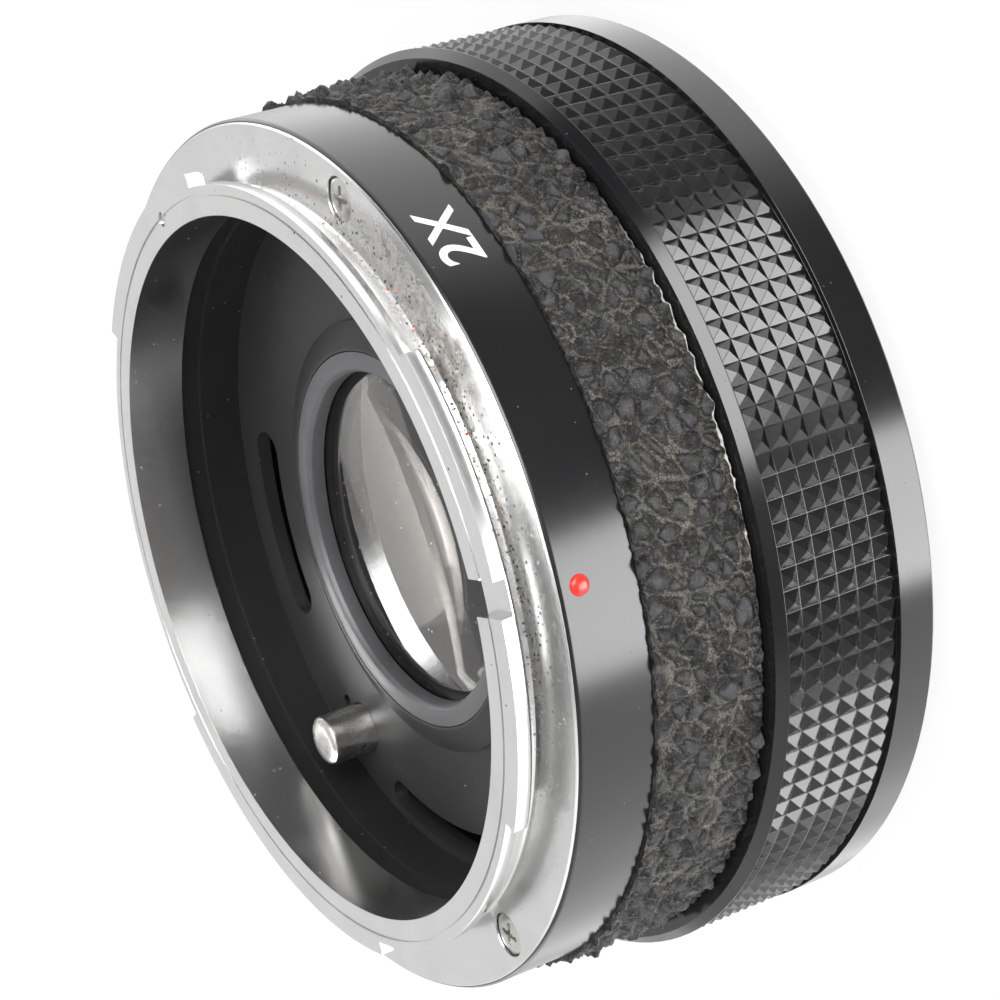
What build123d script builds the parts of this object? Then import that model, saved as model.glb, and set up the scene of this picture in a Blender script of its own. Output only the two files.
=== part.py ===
# A 2x camera teleconverter for a breech-lock mount with a 48 mm throat.
# It stands on its camera side. +Z is the optical axis and points to the lens side.
# The red index bead and the positioning notch are at 12 o'clock, which is -Y.
# Clock angles are in degrees from 12 o'clock and grow towards +X, anticlockwise seen from the lens side.

import os
from math import cos, degrees, radians, sin, sqrt
from build123d import *

os.makedirs("parts", exist_ok=True)

# Overall stack, millimetres
THROAT_RADIUS = 24.0
BODY_LENGTH = 24.4
RING_OVERHANG = 3.6
SKIRT_OVERHANG = 1.2
RUNNING_CLEARANCE = 0.05
FACE_CLEARANCE = 0.15
SEAT_FIT = 0.05
OVERRUN = 1.0
TWELVE_ANGLE = -90.0
FULL_TURN = 360.0
HALF_TURN = FULL_TURN / 2

# Lens-side mount ring, chromed
LAND_WIDTH = 1.3
GROOVE_WIDTH = 0.2
GROOVE_DEPTH = 0.15
RIM_WIDTH = 0.55
RIM_THICKNESS = 0.9
LUG_REACH = 0.9
LUG_THICKNESS = 1.2
LUG_CHAMFER = 0.3
LUG_CORNER = 0.6
NECK_INSET = 0.85
FLANGE_DEPTH = 2.45
FLANGE_INSET = 0.2
FLANGE_LIP = 0.35
FLANGE_CHAMFER = 0.2
SPIGOT_SEAT_DEPTH = 1.0
SPIGOT_SEAT_INSET = 0.3
THROAT_WALL_DEPTH = 4.2
THROAT_WALL = 1.0
NOTCH_WIDTH = 2.3
NOTCH_DEPTH = 0.8
LUG_ANGLES = (0.0, 118.5, -121.5)
LUG_SPAN_ANGLES = (67.0, 47.0, 61.0)

# Screws of the lens-side ring, its stop pin
MOUNT_SCREW_INSET = 2.0
MOUNT_SCREW_ANGLES = (60.0, 180.0, 300.0)
MOUNT_SCREW_HEAD = 1.4
MOUNT_SCREW_SHANK = 0.8
MOUNT_SCREW_LENGTH = 5.0
SCREW_RECESS = 0.12
SCREW_SLOT = 0.35
SCREW_SLOT_DEPTH = 0.3
STOP_PIN_ANGLE = 107.8
STOP_PIN_RADIUS = 0.45
STOP_PIN_LENGTH = 3.0
STOP_PIN_RECESS = 0.12

# Barrel, name ring, bead and grip band
BARREL_WALL = 5.2
NAME_STEP = 0.4
NAME_WALL = 0.7
NAME_LENGTH = 5.1
NAME_CHAMFER = 0.25
BAND_THICKNESS = 0.65
BAND_LENGTH = 7.8
BAND_END_GAP = 0.05
BAND_EDGE = 0.15
BAND_SEAT_MARGIN = 0.1
BEAD_RADIUS = 0.68
BEAD_DROP = 1.19
BEAD_SEAT = 0.35
BEAD_STAND = 0.34
BEAD_DOME = 0.3
JOURNAL_STEP = 0.5
JOURNAL_TAIL_STEP = 1.1
JOURNAL_TAIL_LENGTH = 2.4
THROAT_RELIEF = 0.25
THROAT_STEP_DEPTH = 5.64
PLATE_BORE_INSET = 0.3
LEDGE_WIDTH = 0.75
LEDGE_THICKNESS = 0.7
CAVITY_RELIEF = 0.25
BAFFLE_LEDGE = 0.8

# Mechanism plate with its two arc slots
PLATE_DEPTH = 8.7
PLATE_THICKNESS = 1.0
NARROW_SLOT_WIDTH = 3.0
NARROW_SLOT_ANGLE = 180.0
NARROW_SLOT_SPAN_ANGLE = 40.0
NARROW_SLOT_CORNER = 1.35
WIDE_SLOT_WIDTH = 2.0
WIDE_SLOT_ANGLE = -85.0
WIDE_SLOT_SPAN_ANGLE = 70.0
VENT_RADIUS = 0.45
VENT_OFFSET = 2.56

# Sprung pin that passes the lens's widest aperture on
PIN_INSET = 1.0
PIN_ANGLE = -132.5
PIN_RADIUS = 1.8
PIN_RISE = 3.5
PIN_TIP_FILLET = 0.45
PIN_BODY_DROP = 2.8
PIN_TAIL_RADIUS = 1.2
PIN_TAIL_REACH = 1.6
COIL_RADIUS = 1.5
COIL_WIRE = 0.2
COIL_TURNS = 6

# Lever rings, their return springs, separator and clip
PIN_SIDE_GAP = 0.4
LEVER_RING_WIDTH = 2.65
LEVER_RING_THICKNESS = 1.2
LEVEL_GAP = 0.2
SPRING_HEIGHT = 0.8
SPRING_STRIP = 0.2
SPRING_PITCH = 0.45
SPRING_HALF_TURNS = 9
SEPARATOR_WIDTH = 1.9
SEPARATOR_THICKNESS = 0.5
CLIP_WIDTH = 1.5
CLIP_THICKNESS = 0.6
CLIP_ANGLE = 180.0
CLIP_SPAN_ANGLE = 353.0
LEVER_SPAN_ANGLE = 7.0
LEVER_REACH = 3.6
SIGNAL_ANGLE = -58.0
SIGNAL_SIDE_GAP = 0.5
SIGNAL_FRONT_WALL = 1.1
SIGNAL_REAR_INSET = 1.2
SIGNAL_REAR_WALL = 1.2
SIGNAL_RISE = 4.25
APERTURE_ANGLE = 193.0
APERTURE_OFFSET = 1.1
APERTURE_WALL = 1.3

# Lens cell, rings and glass
CELL_SHOULDER_STEP = 0.45
CELL_TAIL_STEP = 0.7
CELL_WALL = 3.5
CELL_RISE = 1.1
CELL_LIP = 0.25
CELL_CONE = 0.7
CELL_END_MARGIN = 0.6
CELL_STOP_WIDTH = 1.4
CELL_STOP_THICKNESS = 0.7
GLASS_FIT = 0.05
GLASS_SEAT = 1.4
FRONT_RING_HEIGHT = 1.4
FRONT_RING_OVERLAP = 0.35
FRONT_RING_WALL = 1.45
ELEMENT_EDGES = (2.0, 2.45, 2.2, 3.5)
FRONT_BULGES = (1.1, -0.55, 0.3, -1.0)
REAR_BULGES = (0.5, -0.6, 0.8, -0.4)
SPACER_WALL = 1.05
FRONT_SPACER = 0.8
REAR_SPACER = 1.8
REAR_RING_OVERLAP = 0.95
REAR_RING_WALL = 1.55
REAR_RING_HEIGHT = 1.0

# Camera-side mount
MOUNT_PLATE_THICKNESS = 1.6
MOUNT_PLATE_OVERLAP = 0.8
SPIGOT_INSET = 0.1
SPIGOT_WALL = 1.3
SPIGOT_LENGTH = 2.5
SPIGOT_CHAMFER = 0.3
REAR_SCREW_OUTSET = 1.3
REAR_SCREW_ANGLES = (95.0, 145.0, 215.0, 265.0, 335.0)
REAR_SCREW_HEAD = 1.2
REAR_SCREW_SHANK = 0.7
REAR_SCREW_LENGTH = 4.0
REAR_LAND_GAP = 0.15
REAR_LAND_RISE = 0.1
LOCATING_PIN_OUTSET = 1.1
LOCATING_PIN_RADIUS = 0.85
LOCATING_PIN_SHANK = 0.6
LOCATING_PIN_REACH = 0.75
LOCATING_PIN_CHAMFER = 0.15
BAFFLE_THICKNESS = 1.0
BAFFLE_SLOT_MARGIN = 0.7
COLLAR_WALL = 0.8
COLLAR_GAP = 2.0
SKIRT_GAP = 1.2
SKIRT_WALL = 1.2

# Sprung release pin of the breech ring
RELEASE_PIN_OUTSET = 0.95
RELEASE_PIN_ANGLE = 22.0
RELEASE_PIN_RADIUS = 0.7
RELEASE_PIN_HEAD = 0.95
RELEASE_PIN_HEAD_HEIGHT = 0.8
RELEASE_PIN_REACH = 0.9
RELEASE_POCKET_DEPTH = 4.8
RELEASE_COIL_WIRE = 0.14
RELEASE_COIL_TURNS = 6

# Breech ring: knurled shell, and the steel ring with the inner lugs
SHELL_WALL = 2.55
SHELL_CHAMFER = 0.25
FRONT_LAND = 0.65
FRONT_CHAMFER = 0.6
REAR_LAND = 2.77
KNURL_ROWS = 6
KNURL_COLUMNS = 138
KNURL_DEPTH = 0.45
KNURL_ROOT = 0.3
LUG_RING_LIP = 1.05
RIB_BACK_GAP = 0.3
INNER_LUG_OUTSET = 1.85
INNER_LUG_GAP = 1.35
INNER_LUG_THICKNESS = 1.2
INNER_LUG_SPAN_ANGLE = 44.0
INNER_LUG_ANGLES = (60.0, 180.0, 300.0)
RING_SCREW_ANGLES = (0.0, 120.0, 240.0)
RING_SCREW_RADIUS = 0.8
RING_SCREW_DEPTH = 0.9
RING_SCREW_DROP = 0.7

# Heights, from the table up
Z_RING_REAR = SKIRT_OVERHANG
Z_FACE = Z_RING_REAR + RING_OVERHANG
Z_PLATE_FACE = Z_FACE + REAR_LAND_RISE
Z_PLATE_TOP = Z_FACE + MOUNT_PLATE_THICKNESS
Z_BAFFLE_TOP = Z_PLATE_TOP + BAFFLE_THICKNESS
Z_FRONT = Z_FACE + BODY_LENGTH
Z_FLANGE_TOP = Z_FRONT - FLANGE_DEPTH
Z_FLANGE_SEAT = Z_FLANGE_TOP - FLANGE_LIP
Z_SPIGOT_SEAT = Z_FLANGE_SEAT - SPIGOT_SEAT_DEPTH
Z_THROAT_END = Z_FRONT - THROAT_WALL_DEPTH
Z_THROAT_STEP = Z_FRONT - THROAT_STEP_DEPTH
Z_NAME_REAR = Z_FLANGE_SEAT - NAME_LENGTH
Z_BAND_FRONT = Z_NAME_REAR - BAND_END_GAP
Z_BAND_REAR = Z_BAND_FRONT - BAND_LENGTH
Z_SHOULDER = Z_BAND_REAR - BAND_SEAT_MARGIN
Z_JOURNAL_END = Z_PLATE_TOP + JOURNAL_TAIL_LENGTH
Z_SHELL_FRONT = Z_SHOULDER - FACE_CLEARANCE
Z_LUG_RING_SEAT = Z_JOURNAL_END - RIB_BACK_GAP
Z_FLOOR = Z_FRONT - PLATE_DEPTH
Z_PLATE_SEAT = Z_FLOOR - PLATE_THICKNESS
Z_LEDGE_END = Z_PLATE_SEAT - LEDGE_THICKNESS

# Radii outwards from the throat
NECK_OUTER = THROAT_RADIUS + LAND_WIDTH
GROOVE_OUTER = NECK_OUTER + GROOVE_WIDTH
RIM_RADIUS = GROOVE_OUTER + RIM_WIDTH
LUG_RADIUS = RIM_RADIUS + LUG_REACH
NECK_RADIUS = RIM_RADIUS - NECK_INSET
THROAT_BORE = THROAT_RADIUS + THROAT_RELIEF
PLATE_BORE = THROAT_BORE - PLATE_BORE_INSET
LEDGE_RADIUS = PLATE_BORE - LEDGE_WIDTH
CAVITY_RADIUS = PLATE_BORE + CAVITY_RELIEF
BAFFLE_SEAT_RADIUS = CAVITY_RADIUS + BAFFLE_LEDGE
BARREL_RADIUS = CAVITY_RADIUS + BARREL_WALL
NAME_SEAT_RADIUS = BARREL_RADIUS - NAME_STEP
NAME_RADIUS = NAME_SEAT_RADIUS + NAME_WALL
FLANGE_RADIUS = NAME_RADIUS - FLANGE_INSET
SPIGOT_SEAT_RADIUS = NAME_SEAT_RADIUS - SPIGOT_SEAT_INSET
MOUNT_SCREW_CIRCLE = FLANGE_RADIUS - MOUNT_SCREW_INSET
BAND_RADIUS = BARREL_RADIUS + BAND_THICKNESS
JOURNAL_RADIUS = BARREL_RADIUS - JOURNAL_STEP
JOURNAL_TAIL_RADIUS = JOURNAL_RADIUS - JOURNAL_TAIL_STEP
MOUNT_PLATE_RADIUS = JOURNAL_TAIL_RADIUS + MOUNT_PLATE_OVERLAP
SPIGOT_RADIUS = THROAT_RADIUS - SPIGOT_INSET
SPIGOT_BORE = SPIGOT_RADIUS - SPIGOT_WALL
REAR_SCREW_CIRCLE = NECK_OUTER + REAR_SCREW_OUTSET
LOCATING_PIN_CIRCLE = NECK_OUTER + LOCATING_PIN_OUTSET
RELEASE_PIN_CIRCLE = NECK_OUTER + RELEASE_PIN_OUTSET
SHELL_BORE = JOURNAL_RADIUS + RUNNING_CLEARANCE
SHELL_RADIUS = SHELL_BORE + SHELL_WALL
LUG_RING_SEAT_RADIUS = SHELL_BORE + LUG_RING_LIP
LUG_RING_RADIUS = LUG_RING_SEAT_RADIUS - SEAT_FIT
LUG_RING_BORE = MOUNT_PLATE_RADIUS + FACE_CLEARANCE
RIB_RADIUS = JOURNAL_TAIL_RADIUS + FACE_CLEARANCE

# Radii inwards from the plate's ledge
PIN_CIRCLE = LEDGE_RADIUS - PIN_INSET - PIN_RADIUS
VENT_ANGLE = PIN_ANGLE - degrees(VENT_OFFSET / PIN_CIRCLE)
LEVER_RING_OUTER = PIN_CIRCLE - PIN_RADIUS - PIN_SIDE_GAP
CELL_JOURNAL_RADIUS = LEVER_RING_OUTER - LEVER_RING_WIDTH - RUNNING_CLEARANCE
LEVER_RING_BORE = CELL_JOURNAL_RADIUS + RUNNING_CLEARANCE
CELL_NECK_RADIUS = CELL_JOURNAL_RADIUS - CELL_SHOULDER_STEP
CELL_TAIL_RADIUS = CELL_JOURNAL_RADIUS - CELL_TAIL_STEP
GLASS_BORE = CELL_JOURNAL_RADIUS - CELL_WALL
GLASS_RADIUS = GLASS_BORE - GLASS_FIT
CLEAR_RADIUS = GLASS_RADIUS - GLASS_SEAT
FRONT_RING_INNER = GLASS_RADIUS - FRONT_RING_OVERLAP
FRONT_RING_OUTER = FRONT_RING_INNER + FRONT_RING_WALL
FRONT_RING_BORE = FRONT_RING_OUTER + GLASS_FIT
CELL_TOP_RADIUS = FRONT_RING_BORE + CELL_LIP
REAR_RING_INNER = GLASS_RADIUS - REAR_RING_OVERLAP
REAR_RING_OUTER = REAR_RING_INNER + REAR_RING_WALL
REAR_RING_BORE = REAR_RING_OUTER + GLASS_FIT
SKIRT_BORE = CELL_TAIL_RADIUS + SKIRT_GAP
NARROW_SLOT_INNER = PIN_CIRCLE - PIN_RADIUS - PIN_SIDE_GAP / 2
SIGNAL_FRONT_OUTER = LEDGE_RADIUS - SIGNAL_SIDE_GAP
SIGNAL_REAR_OUTER = SIGNAL_FRONT_OUTER - SIGNAL_REAR_INSET
APERTURE_INNER = LEVER_RING_OUTER + APERTURE_OFFSET
APERTURE_OUTER = APERTURE_INNER + APERTURE_WALL

# Levels of the glass down the cell, and of the lever rings down its journal
Z_CELL_TOP = Z_FLOOR + CELL_RISE
Z_ELEMENT_1 = Z_CELL_TOP - FRONT_RING_HEIGHT
Z_ELEMENT_2 = Z_ELEMENT_1 - ELEMENT_EDGES[0] - FRONT_SPACER
Z_CELL_STOP = Z_ELEMENT_2 - ELEMENT_EDGES[1]
Z_ELEMENT_3 = Z_CELL_STOP - CELL_STOP_THICKNESS
Z_ELEMENT_4 = Z_ELEMENT_3 - ELEMENT_EDGES[2] - REAR_SPACER
Z_REAR_RING = Z_ELEMENT_4 - ELEMENT_EDGES[3]
Z_CELL_END = Z_REAR_RING - REAR_RING_HEIGHT - CELL_END_MARGIN
Z_SPRING_1 = Z_PLATE_SEAT - LEVEL_GAP - SPRING_HEIGHT
Z_SIGNAL = Z_SPRING_1 - LEVEL_GAP - LEVER_RING_THICKNESS
Z_SEPARATOR = Z_SIGNAL - LEVEL_GAP - SEPARATOR_THICKNESS
Z_APERTURE = Z_SEPARATOR - LEVEL_GAP - LEVER_RING_THICKNESS
Z_SPRING_2 = Z_APERTURE - LEVEL_GAP - SPRING_HEIGHT
Z_CLIP = Z_SPRING_2 - LEVEL_GAP - CLIP_THICKNESS
Z_CELL_JOURNAL_LOW = Z_CLIP - LEVEL_GAP
Z_COLLAR_TOP = Z_CELL_JOURNAL_LOW - COLLAR_GAP
Z_LEVER_TIP = Z_FACE - LEVER_REACH


def clock(radius, angle):
    # Point on a circle at a clock angle
    return (radius * sin(radians(angle)), -radius * cos(radians(angle)))


def outward(angle):
    # Direction away from the axis at a clock angle
    return (sin(radians(angle)), -cos(radians(angle)), 0)


def sector(inner, outer, centre, span, corner=0):
    # Arc-shaped sketch between two radii, round a clock angle
    start = centre - span / 2 + TWELVE_ANGLE
    with BuildSketch() as shape:
        with BuildLine():
            far = CenterArc((0, 0), outer, start, span)
            near = CenterArc((0, 0), inner, start, span)
            Line(near @ 0, far @ 0)
            Line(near @ 1, far @ 1)
        make_face()
        if corner:
            fillet(shape.vertices(), radius=corner)
    return shape.sketch


def sunk_heads(circle, angles, level, head, shank, mode=Mode.ADD, facing_down=False):
    # Countersunk cones on a circle, their wide ends at one level
    ends = (head, shank) if facing_down else (shank, head)
    side = Align.MIN if facing_down else Align.MAX
    with Locations(*[(*clock(circle, angle), level) for angle in angles]):
        Cone(*ends, head - shank, align=(Align.CENTER, Align.CENTER, side), mode=mode)


def sphere_rise(reach, bulge, at):
    # Height at one radius of a spherical face that rises by bulge over its reach
    sphere = (reach * reach + bulge * bulge) / (2 * abs(bulge))
    rise = sqrt(sphere * sphere - at * at) - (sphere - abs(bulge))
    return rise if bulge > 0 else -rise


# Lens-side mount ring: land, groove, rim, neck and flange in one turned piece, with three lugs
with BuildPart() as lens_mount_ring:
    with BuildSketch(Plane.XZ):
        with BuildLine():
            Polyline(
                (THROAT_RADIUS, Z_FRONT),
                (NECK_OUTER, Z_FRONT),
                (NECK_OUTER, Z_FRONT - GROOVE_DEPTH),
                (GROOVE_OUTER, Z_FRONT - GROOVE_DEPTH),
                (GROOVE_OUTER, Z_FRONT),
                (RIM_RADIUS, Z_FRONT),
                (RIM_RADIUS, Z_FRONT - RIM_THICKNESS),
                (NECK_RADIUS, Z_FRONT - LUG_THICKNESS),
                (NECK_RADIUS, Z_FLANGE_TOP),
                (FLANGE_RADIUS - FLANGE_CHAMFER, Z_FLANGE_TOP),
                (FLANGE_RADIUS, Z_FLANGE_TOP - FLANGE_CHAMFER),
                (FLANGE_RADIUS, Z_FLANGE_SEAT),
                (SPIGOT_SEAT_RADIUS, Z_FLANGE_SEAT),
                (SPIGOT_SEAT_RADIUS, Z_SPIGOT_SEAT),
                (THROAT_RADIUS + THROAT_WALL, Z_SPIGOT_SEAT),
                (THROAT_RADIUS + THROAT_WALL, Z_THROAT_END),
                (THROAT_RADIUS, Z_THROAT_END),
                close=True,
            )
        make_face()
    revolve(axis=Axis.Z)
    for centre, span in zip(LUG_ANGLES, LUG_SPAN_ANGLES):
        with BuildSketch(Plane.XY.offset(Z_FRONT - LUG_THICKNESS)) as lug:
            add(sector(NECK_RADIUS, LUG_RADIUS, centre, span))
            fillet(lug.vertices().sort_by(lambda v: v.X * v.X + v.Y * v.Y)[-2:], radius=LUG_CORNER)
            add(sector(NECK_RADIUS, GROOVE_OUTER, centre, span), mode=Mode.SUBTRACT)
        extrude(amount=LUG_THICKNESS)
    # Chamfer under the lugs
    with BuildSketch(Plane.XZ):
        with BuildLine():
            Polyline(
                (LUG_RADIUS - LUG_CHAMFER, Z_FRONT - LUG_THICKNESS),
                (LUG_RADIUS + LUG_CHAMFER, Z_FRONT - LUG_THICKNESS),
                (LUG_RADIUS + LUG_CHAMFER, Z_FRONT - LUG_THICKNESS + 2 * LUG_CHAMFER),
                close=True,
            )
        make_face()
    revolve(axis=Axis.Z, mode=Mode.SUBTRACT)
    # Notch for the positioning pin of the lens
    with BuildSketch(Plane.XY.offset(Z_FRONT - NOTCH_DEPTH)):
        with Locations(clock((THROAT_RADIUS + LUG_RADIUS) / 2, 0)):
            Rectangle(NOTCH_WIDTH, LUG_RADIUS - THROAT_RADIUS + OVERRUN)
    extrude(amount=NOTCH_DEPTH + OVERRUN, mode=Mode.SUBTRACT)
    # Countersunk screw holes and the stop pin's hole
    with BuildSketch(Plane.XY.offset(Z_SPIGOT_SEAT)):
        with Locations(*[clock(MOUNT_SCREW_CIRCLE, a) for a in MOUNT_SCREW_ANGLES]):
            Circle(MOUNT_SCREW_SHANK + SEAT_FIT)
    extrude(amount=Z_FLANGE_TOP - Z_SPIGOT_SEAT, mode=Mode.SUBTRACT)
    sunk_heads(MOUNT_SCREW_CIRCLE, MOUNT_SCREW_ANGLES, Z_FLANGE_TOP - SCREW_RECESS,
               MOUNT_SCREW_HEAD, MOUNT_SCREW_SHANK, mode=Mode.SUBTRACT)
    with BuildSketch(Plane.XY.offset(Z_FLANGE_TOP - SCREW_RECESS)):
        with Locations(*[clock(MOUNT_SCREW_CIRCLE, a) for a in MOUNT_SCREW_ANGLES]):
            Circle(MOUNT_SCREW_HEAD)
    extrude(amount=SCREW_RECESS, mode=Mode.SUBTRACT)
    with BuildSketch(Plane.XY.offset(Z_FRONT - STOP_PIN_LENGTH - STOP_PIN_RECESS)):
        with Locations(clock(NECK_OUTER, STOP_PIN_ANGLE)):
            Circle(STOP_PIN_RADIUS)
    extrude(amount=STOP_PIN_LENGTH + STOP_PIN_RECESS, mode=Mode.SUBTRACT)
lens_mount_ring.part.label = "lens_mount_ring"
export_step(lens_mount_ring.part, "parts/lens_mount_ring.step")

# Three cross-head screws between the lugs
with BuildPart() as lens_mount_screws:
    sunk_heads(MOUNT_SCREW_CIRCLE, MOUNT_SCREW_ANGLES, Z_FLANGE_TOP - SCREW_RECESS,
               MOUNT_SCREW_HEAD, MOUNT_SCREW_SHANK)
    with BuildSketch(Plane.XY.offset(Z_FLANGE_TOP - MOUNT_SCREW_LENGTH)):
        with Locations(*[clock(MOUNT_SCREW_CIRCLE, a) for a in MOUNT_SCREW_ANGLES]):
            Circle(MOUNT_SCREW_SHANK)
    extrude(amount=MOUNT_SCREW_LENGTH - SCREW_RECESS)
    with BuildSketch(Plane.XY.offset(Z_FLANGE_TOP - SCREW_RECESS - SCREW_SLOT_DEPTH)):
        for angle in MOUNT_SCREW_ANGLES:
            with Locations(Location((*clock(MOUNT_SCREW_CIRCLE, angle), 0), angle)):
                Rectangle(MOUNT_SCREW_HEAD, SCREW_SLOT)
                Rectangle(SCREW_SLOT, MOUNT_SCREW_HEAD)
    extrude(amount=SCREW_SLOT_DEPTH, mode=Mode.SUBTRACT)
lens_mount_screws.part.label = "lens_mount_screws"
export_step(lens_mount_screws.part, "parts/lens_mount_screws.step")

# Pressed stop pin, its end seen as a small disc in the front land
with BuildPart() as mount_stop_pin:
    with BuildSketch(Plane.XY.offset(Z_FRONT - STOP_PIN_LENGTH - STOP_PIN_RECESS)):
        with Locations(clock(NECK_OUTER, STOP_PIN_ANGLE)):
            Circle(STOP_PIN_RADIUS)
    extrude(amount=STOP_PIN_LENGTH)
mount_stop_pin.part.label = "mount_stop_pin"
export_step(mount_stop_pin.part, "parts/mount_stop_pin.step")

# Barrel: seat for the chromed ring, ledge for the plate, journal for the breech ring
with BuildPart() as main_barrel:
    with BuildSketch(Plane.XZ):
        with BuildLine():
            Polyline(
                (THROAT_BORE, Z_THROAT_END),
                (THROAT_RADIUS + THROAT_WALL, Z_THROAT_END),
                (THROAT_RADIUS + THROAT_WALL, Z_SPIGOT_SEAT),
                (SPIGOT_SEAT_RADIUS, Z_SPIGOT_SEAT),
                (SPIGOT_SEAT_RADIUS, Z_FLANGE_SEAT),
                (NAME_SEAT_RADIUS, Z_FLANGE_SEAT),
                (NAME_SEAT_RADIUS, Z_NAME_REAR),
                (BARREL_RADIUS, Z_NAME_REAR),
                (BARREL_RADIUS, Z_SHOULDER),
                (JOURNAL_RADIUS, Z_SHOULDER),
                (JOURNAL_RADIUS, Z_JOURNAL_END),
                (JOURNAL_TAIL_RADIUS, Z_JOURNAL_END),
                (JOURNAL_TAIL_RADIUS, Z_PLATE_TOP),
                (BAFFLE_SEAT_RADIUS, Z_PLATE_TOP),
                (BAFFLE_SEAT_RADIUS, Z_BAFFLE_TOP),
                (CAVITY_RADIUS, Z_BAFFLE_TOP),
                (CAVITY_RADIUS, Z_LEDGE_END),
                (LEDGE_RADIUS, Z_LEDGE_END),
                (LEDGE_RADIUS, Z_PLATE_SEAT),
                (PLATE_BORE, Z_PLATE_SEAT),
                (PLATE_BORE, Z_THROAT_STEP),
                (THROAT_BORE, Z_THROAT_STEP),
                close=True,
            )
        make_face()
    revolve(axis=Axis.Z)
    with BuildSketch(Plane.XY.offset(Z_FLANGE_TOP - MOUNT_SCREW_LENGTH)):
        with Locations(*[clock(MOUNT_SCREW_CIRCLE, a) for a in MOUNT_SCREW_ANGLES]):
            Circle(MOUNT_SCREW_SHANK)
    extrude(amount=Z_SPIGOT_SEAT - Z_FLANGE_TOP + MOUNT_SCREW_LENGTH, mode=Mode.SUBTRACT)
    with BuildSketch(Plane.XY.offset(Z_PLATE_TOP)):
        with Locations(*[clock(REAR_SCREW_CIRCLE, a) for a in REAR_SCREW_ANGLES]):
            Circle(REAR_SCREW_SHANK)
    extrude(amount=REAR_SCREW_LENGTH - MOUNT_PLATE_THICKNESS, mode=Mode.SUBTRACT)
    with BuildSketch(Plane.XY.offset(Z_PLATE_TOP)):
        with Locations(clock(RELEASE_PIN_CIRCLE, RELEASE_PIN_ANGLE)):
            Circle(RELEASE_PIN_HEAD + RUNNING_CLEARANCE)
    extrude(amount=RELEASE_POCKET_DEPTH, mode=Mode.SUBTRACT)
main_barrel.part.label = "main_barrel"
export_step(main_barrel.part, "parts/main_barrel.step")

# Gloss black name ring round the barrel's front
with BuildPart() as name_ring:
    with BuildSketch(Plane.XZ):
        with BuildLine():
            Polyline(
                (NAME_SEAT_RADIUS, Z_FLANGE_SEAT),
                (NAME_RADIUS - NAME_CHAMFER, Z_FLANGE_SEAT),
                (NAME_RADIUS, Z_FLANGE_SEAT - NAME_CHAMFER),
                (NAME_RADIUS, Z_NAME_REAR),
                (NAME_SEAT_RADIUS, Z_NAME_REAR),
                close=True,
            )
        make_face()
    revolve(axis=Axis.Z)
    with BuildSketch(Plane.XZ.offset(NAME_RADIUS - BEAD_SEAT)):
        with Locations((0, Z_FLANGE_SEAT - BEAD_DROP)):
            Circle(BEAD_RADIUS)
    extrude(amount=BEAD_SEAT + OVERRUN, mode=Mode.SUBTRACT)
name_ring.part.label = "name_ring"
export_step(name_ring.part, "parts/name_ring.step")

# Red index bead, domed and seated in the name ring
with BuildPart() as index_bead:
    with BuildSketch(Plane.XZ.offset(NAME_RADIUS - BEAD_SEAT)):
        with Locations((0, Z_FLANGE_SEAT - BEAD_DROP)):
            Circle(BEAD_RADIUS)
    extrude(amount=BEAD_SEAT + BEAD_STAND)
    fillet(index_bead.faces().sort_by(Axis.Y)[0].edges(), radius=BEAD_DOME)
index_bead.part.label = "index_bead"
export_step(index_bead.part, "parts/index_bead.step")

# Grip covering, wrapped round the barrel
with BuildPart() as grip_band:
    with BuildSketch(Plane.XZ):
        with BuildLine():
            Polyline(
                (BARREL_RADIUS, Z_BAND_FRONT),
                (BAND_RADIUS - BAND_EDGE, Z_BAND_FRONT),
                (BAND_RADIUS, Z_BAND_FRONT - BAND_EDGE),
                (BAND_RADIUS, Z_BAND_REAR + BAND_EDGE),
                (BAND_RADIUS - BAND_EDGE, Z_BAND_REAR),
                (BARREL_RADIUS, Z_BAND_REAR),
                close=True,
            )
        make_face()
    revolve(axis=Axis.Z)
grip_band.part.label = "grip_band"
export_step(grip_band.part, "parts/grip_band.step")

# Mechanism plate: floor of the throat, with two arc slots, the pin's hole and a small vent
with BuildPart() as mechanism_plate:
    with BuildSketch(Plane.XY.offset(Z_PLATE_SEAT)):
        Circle(PLATE_BORE - SEAT_FIT)
        Circle(CELL_NECK_RADIUS, mode=Mode.SUBTRACT)
        add(sector(NARROW_SLOT_INNER, NARROW_SLOT_INNER + NARROW_SLOT_WIDTH,
                   NARROW_SLOT_ANGLE, NARROW_SLOT_SPAN_ANGLE, NARROW_SLOT_CORNER), mode=Mode.SUBTRACT)
        add(sector(LEDGE_RADIUS - WIDE_SLOT_WIDTH, LEDGE_RADIUS, WIDE_SLOT_ANGLE, WIDE_SLOT_SPAN_ANGLE),
            mode=Mode.SUBTRACT)
        with Locations(clock(PIN_CIRCLE, PIN_ANGLE)):
            Circle(PIN_RADIUS + RUNNING_CLEARANCE, mode=Mode.SUBTRACT)
        with Locations(clock(PIN_CIRCLE, VENT_ANGLE)):
            Circle(VENT_RADIUS, mode=Mode.SUBTRACT)
    extrude(amount=PLATE_THICKNESS)
mechanism_plate.part.label = "mechanism_plate"
export_step(mechanism_plate.part, "parts/mechanism_plate.step")

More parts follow.
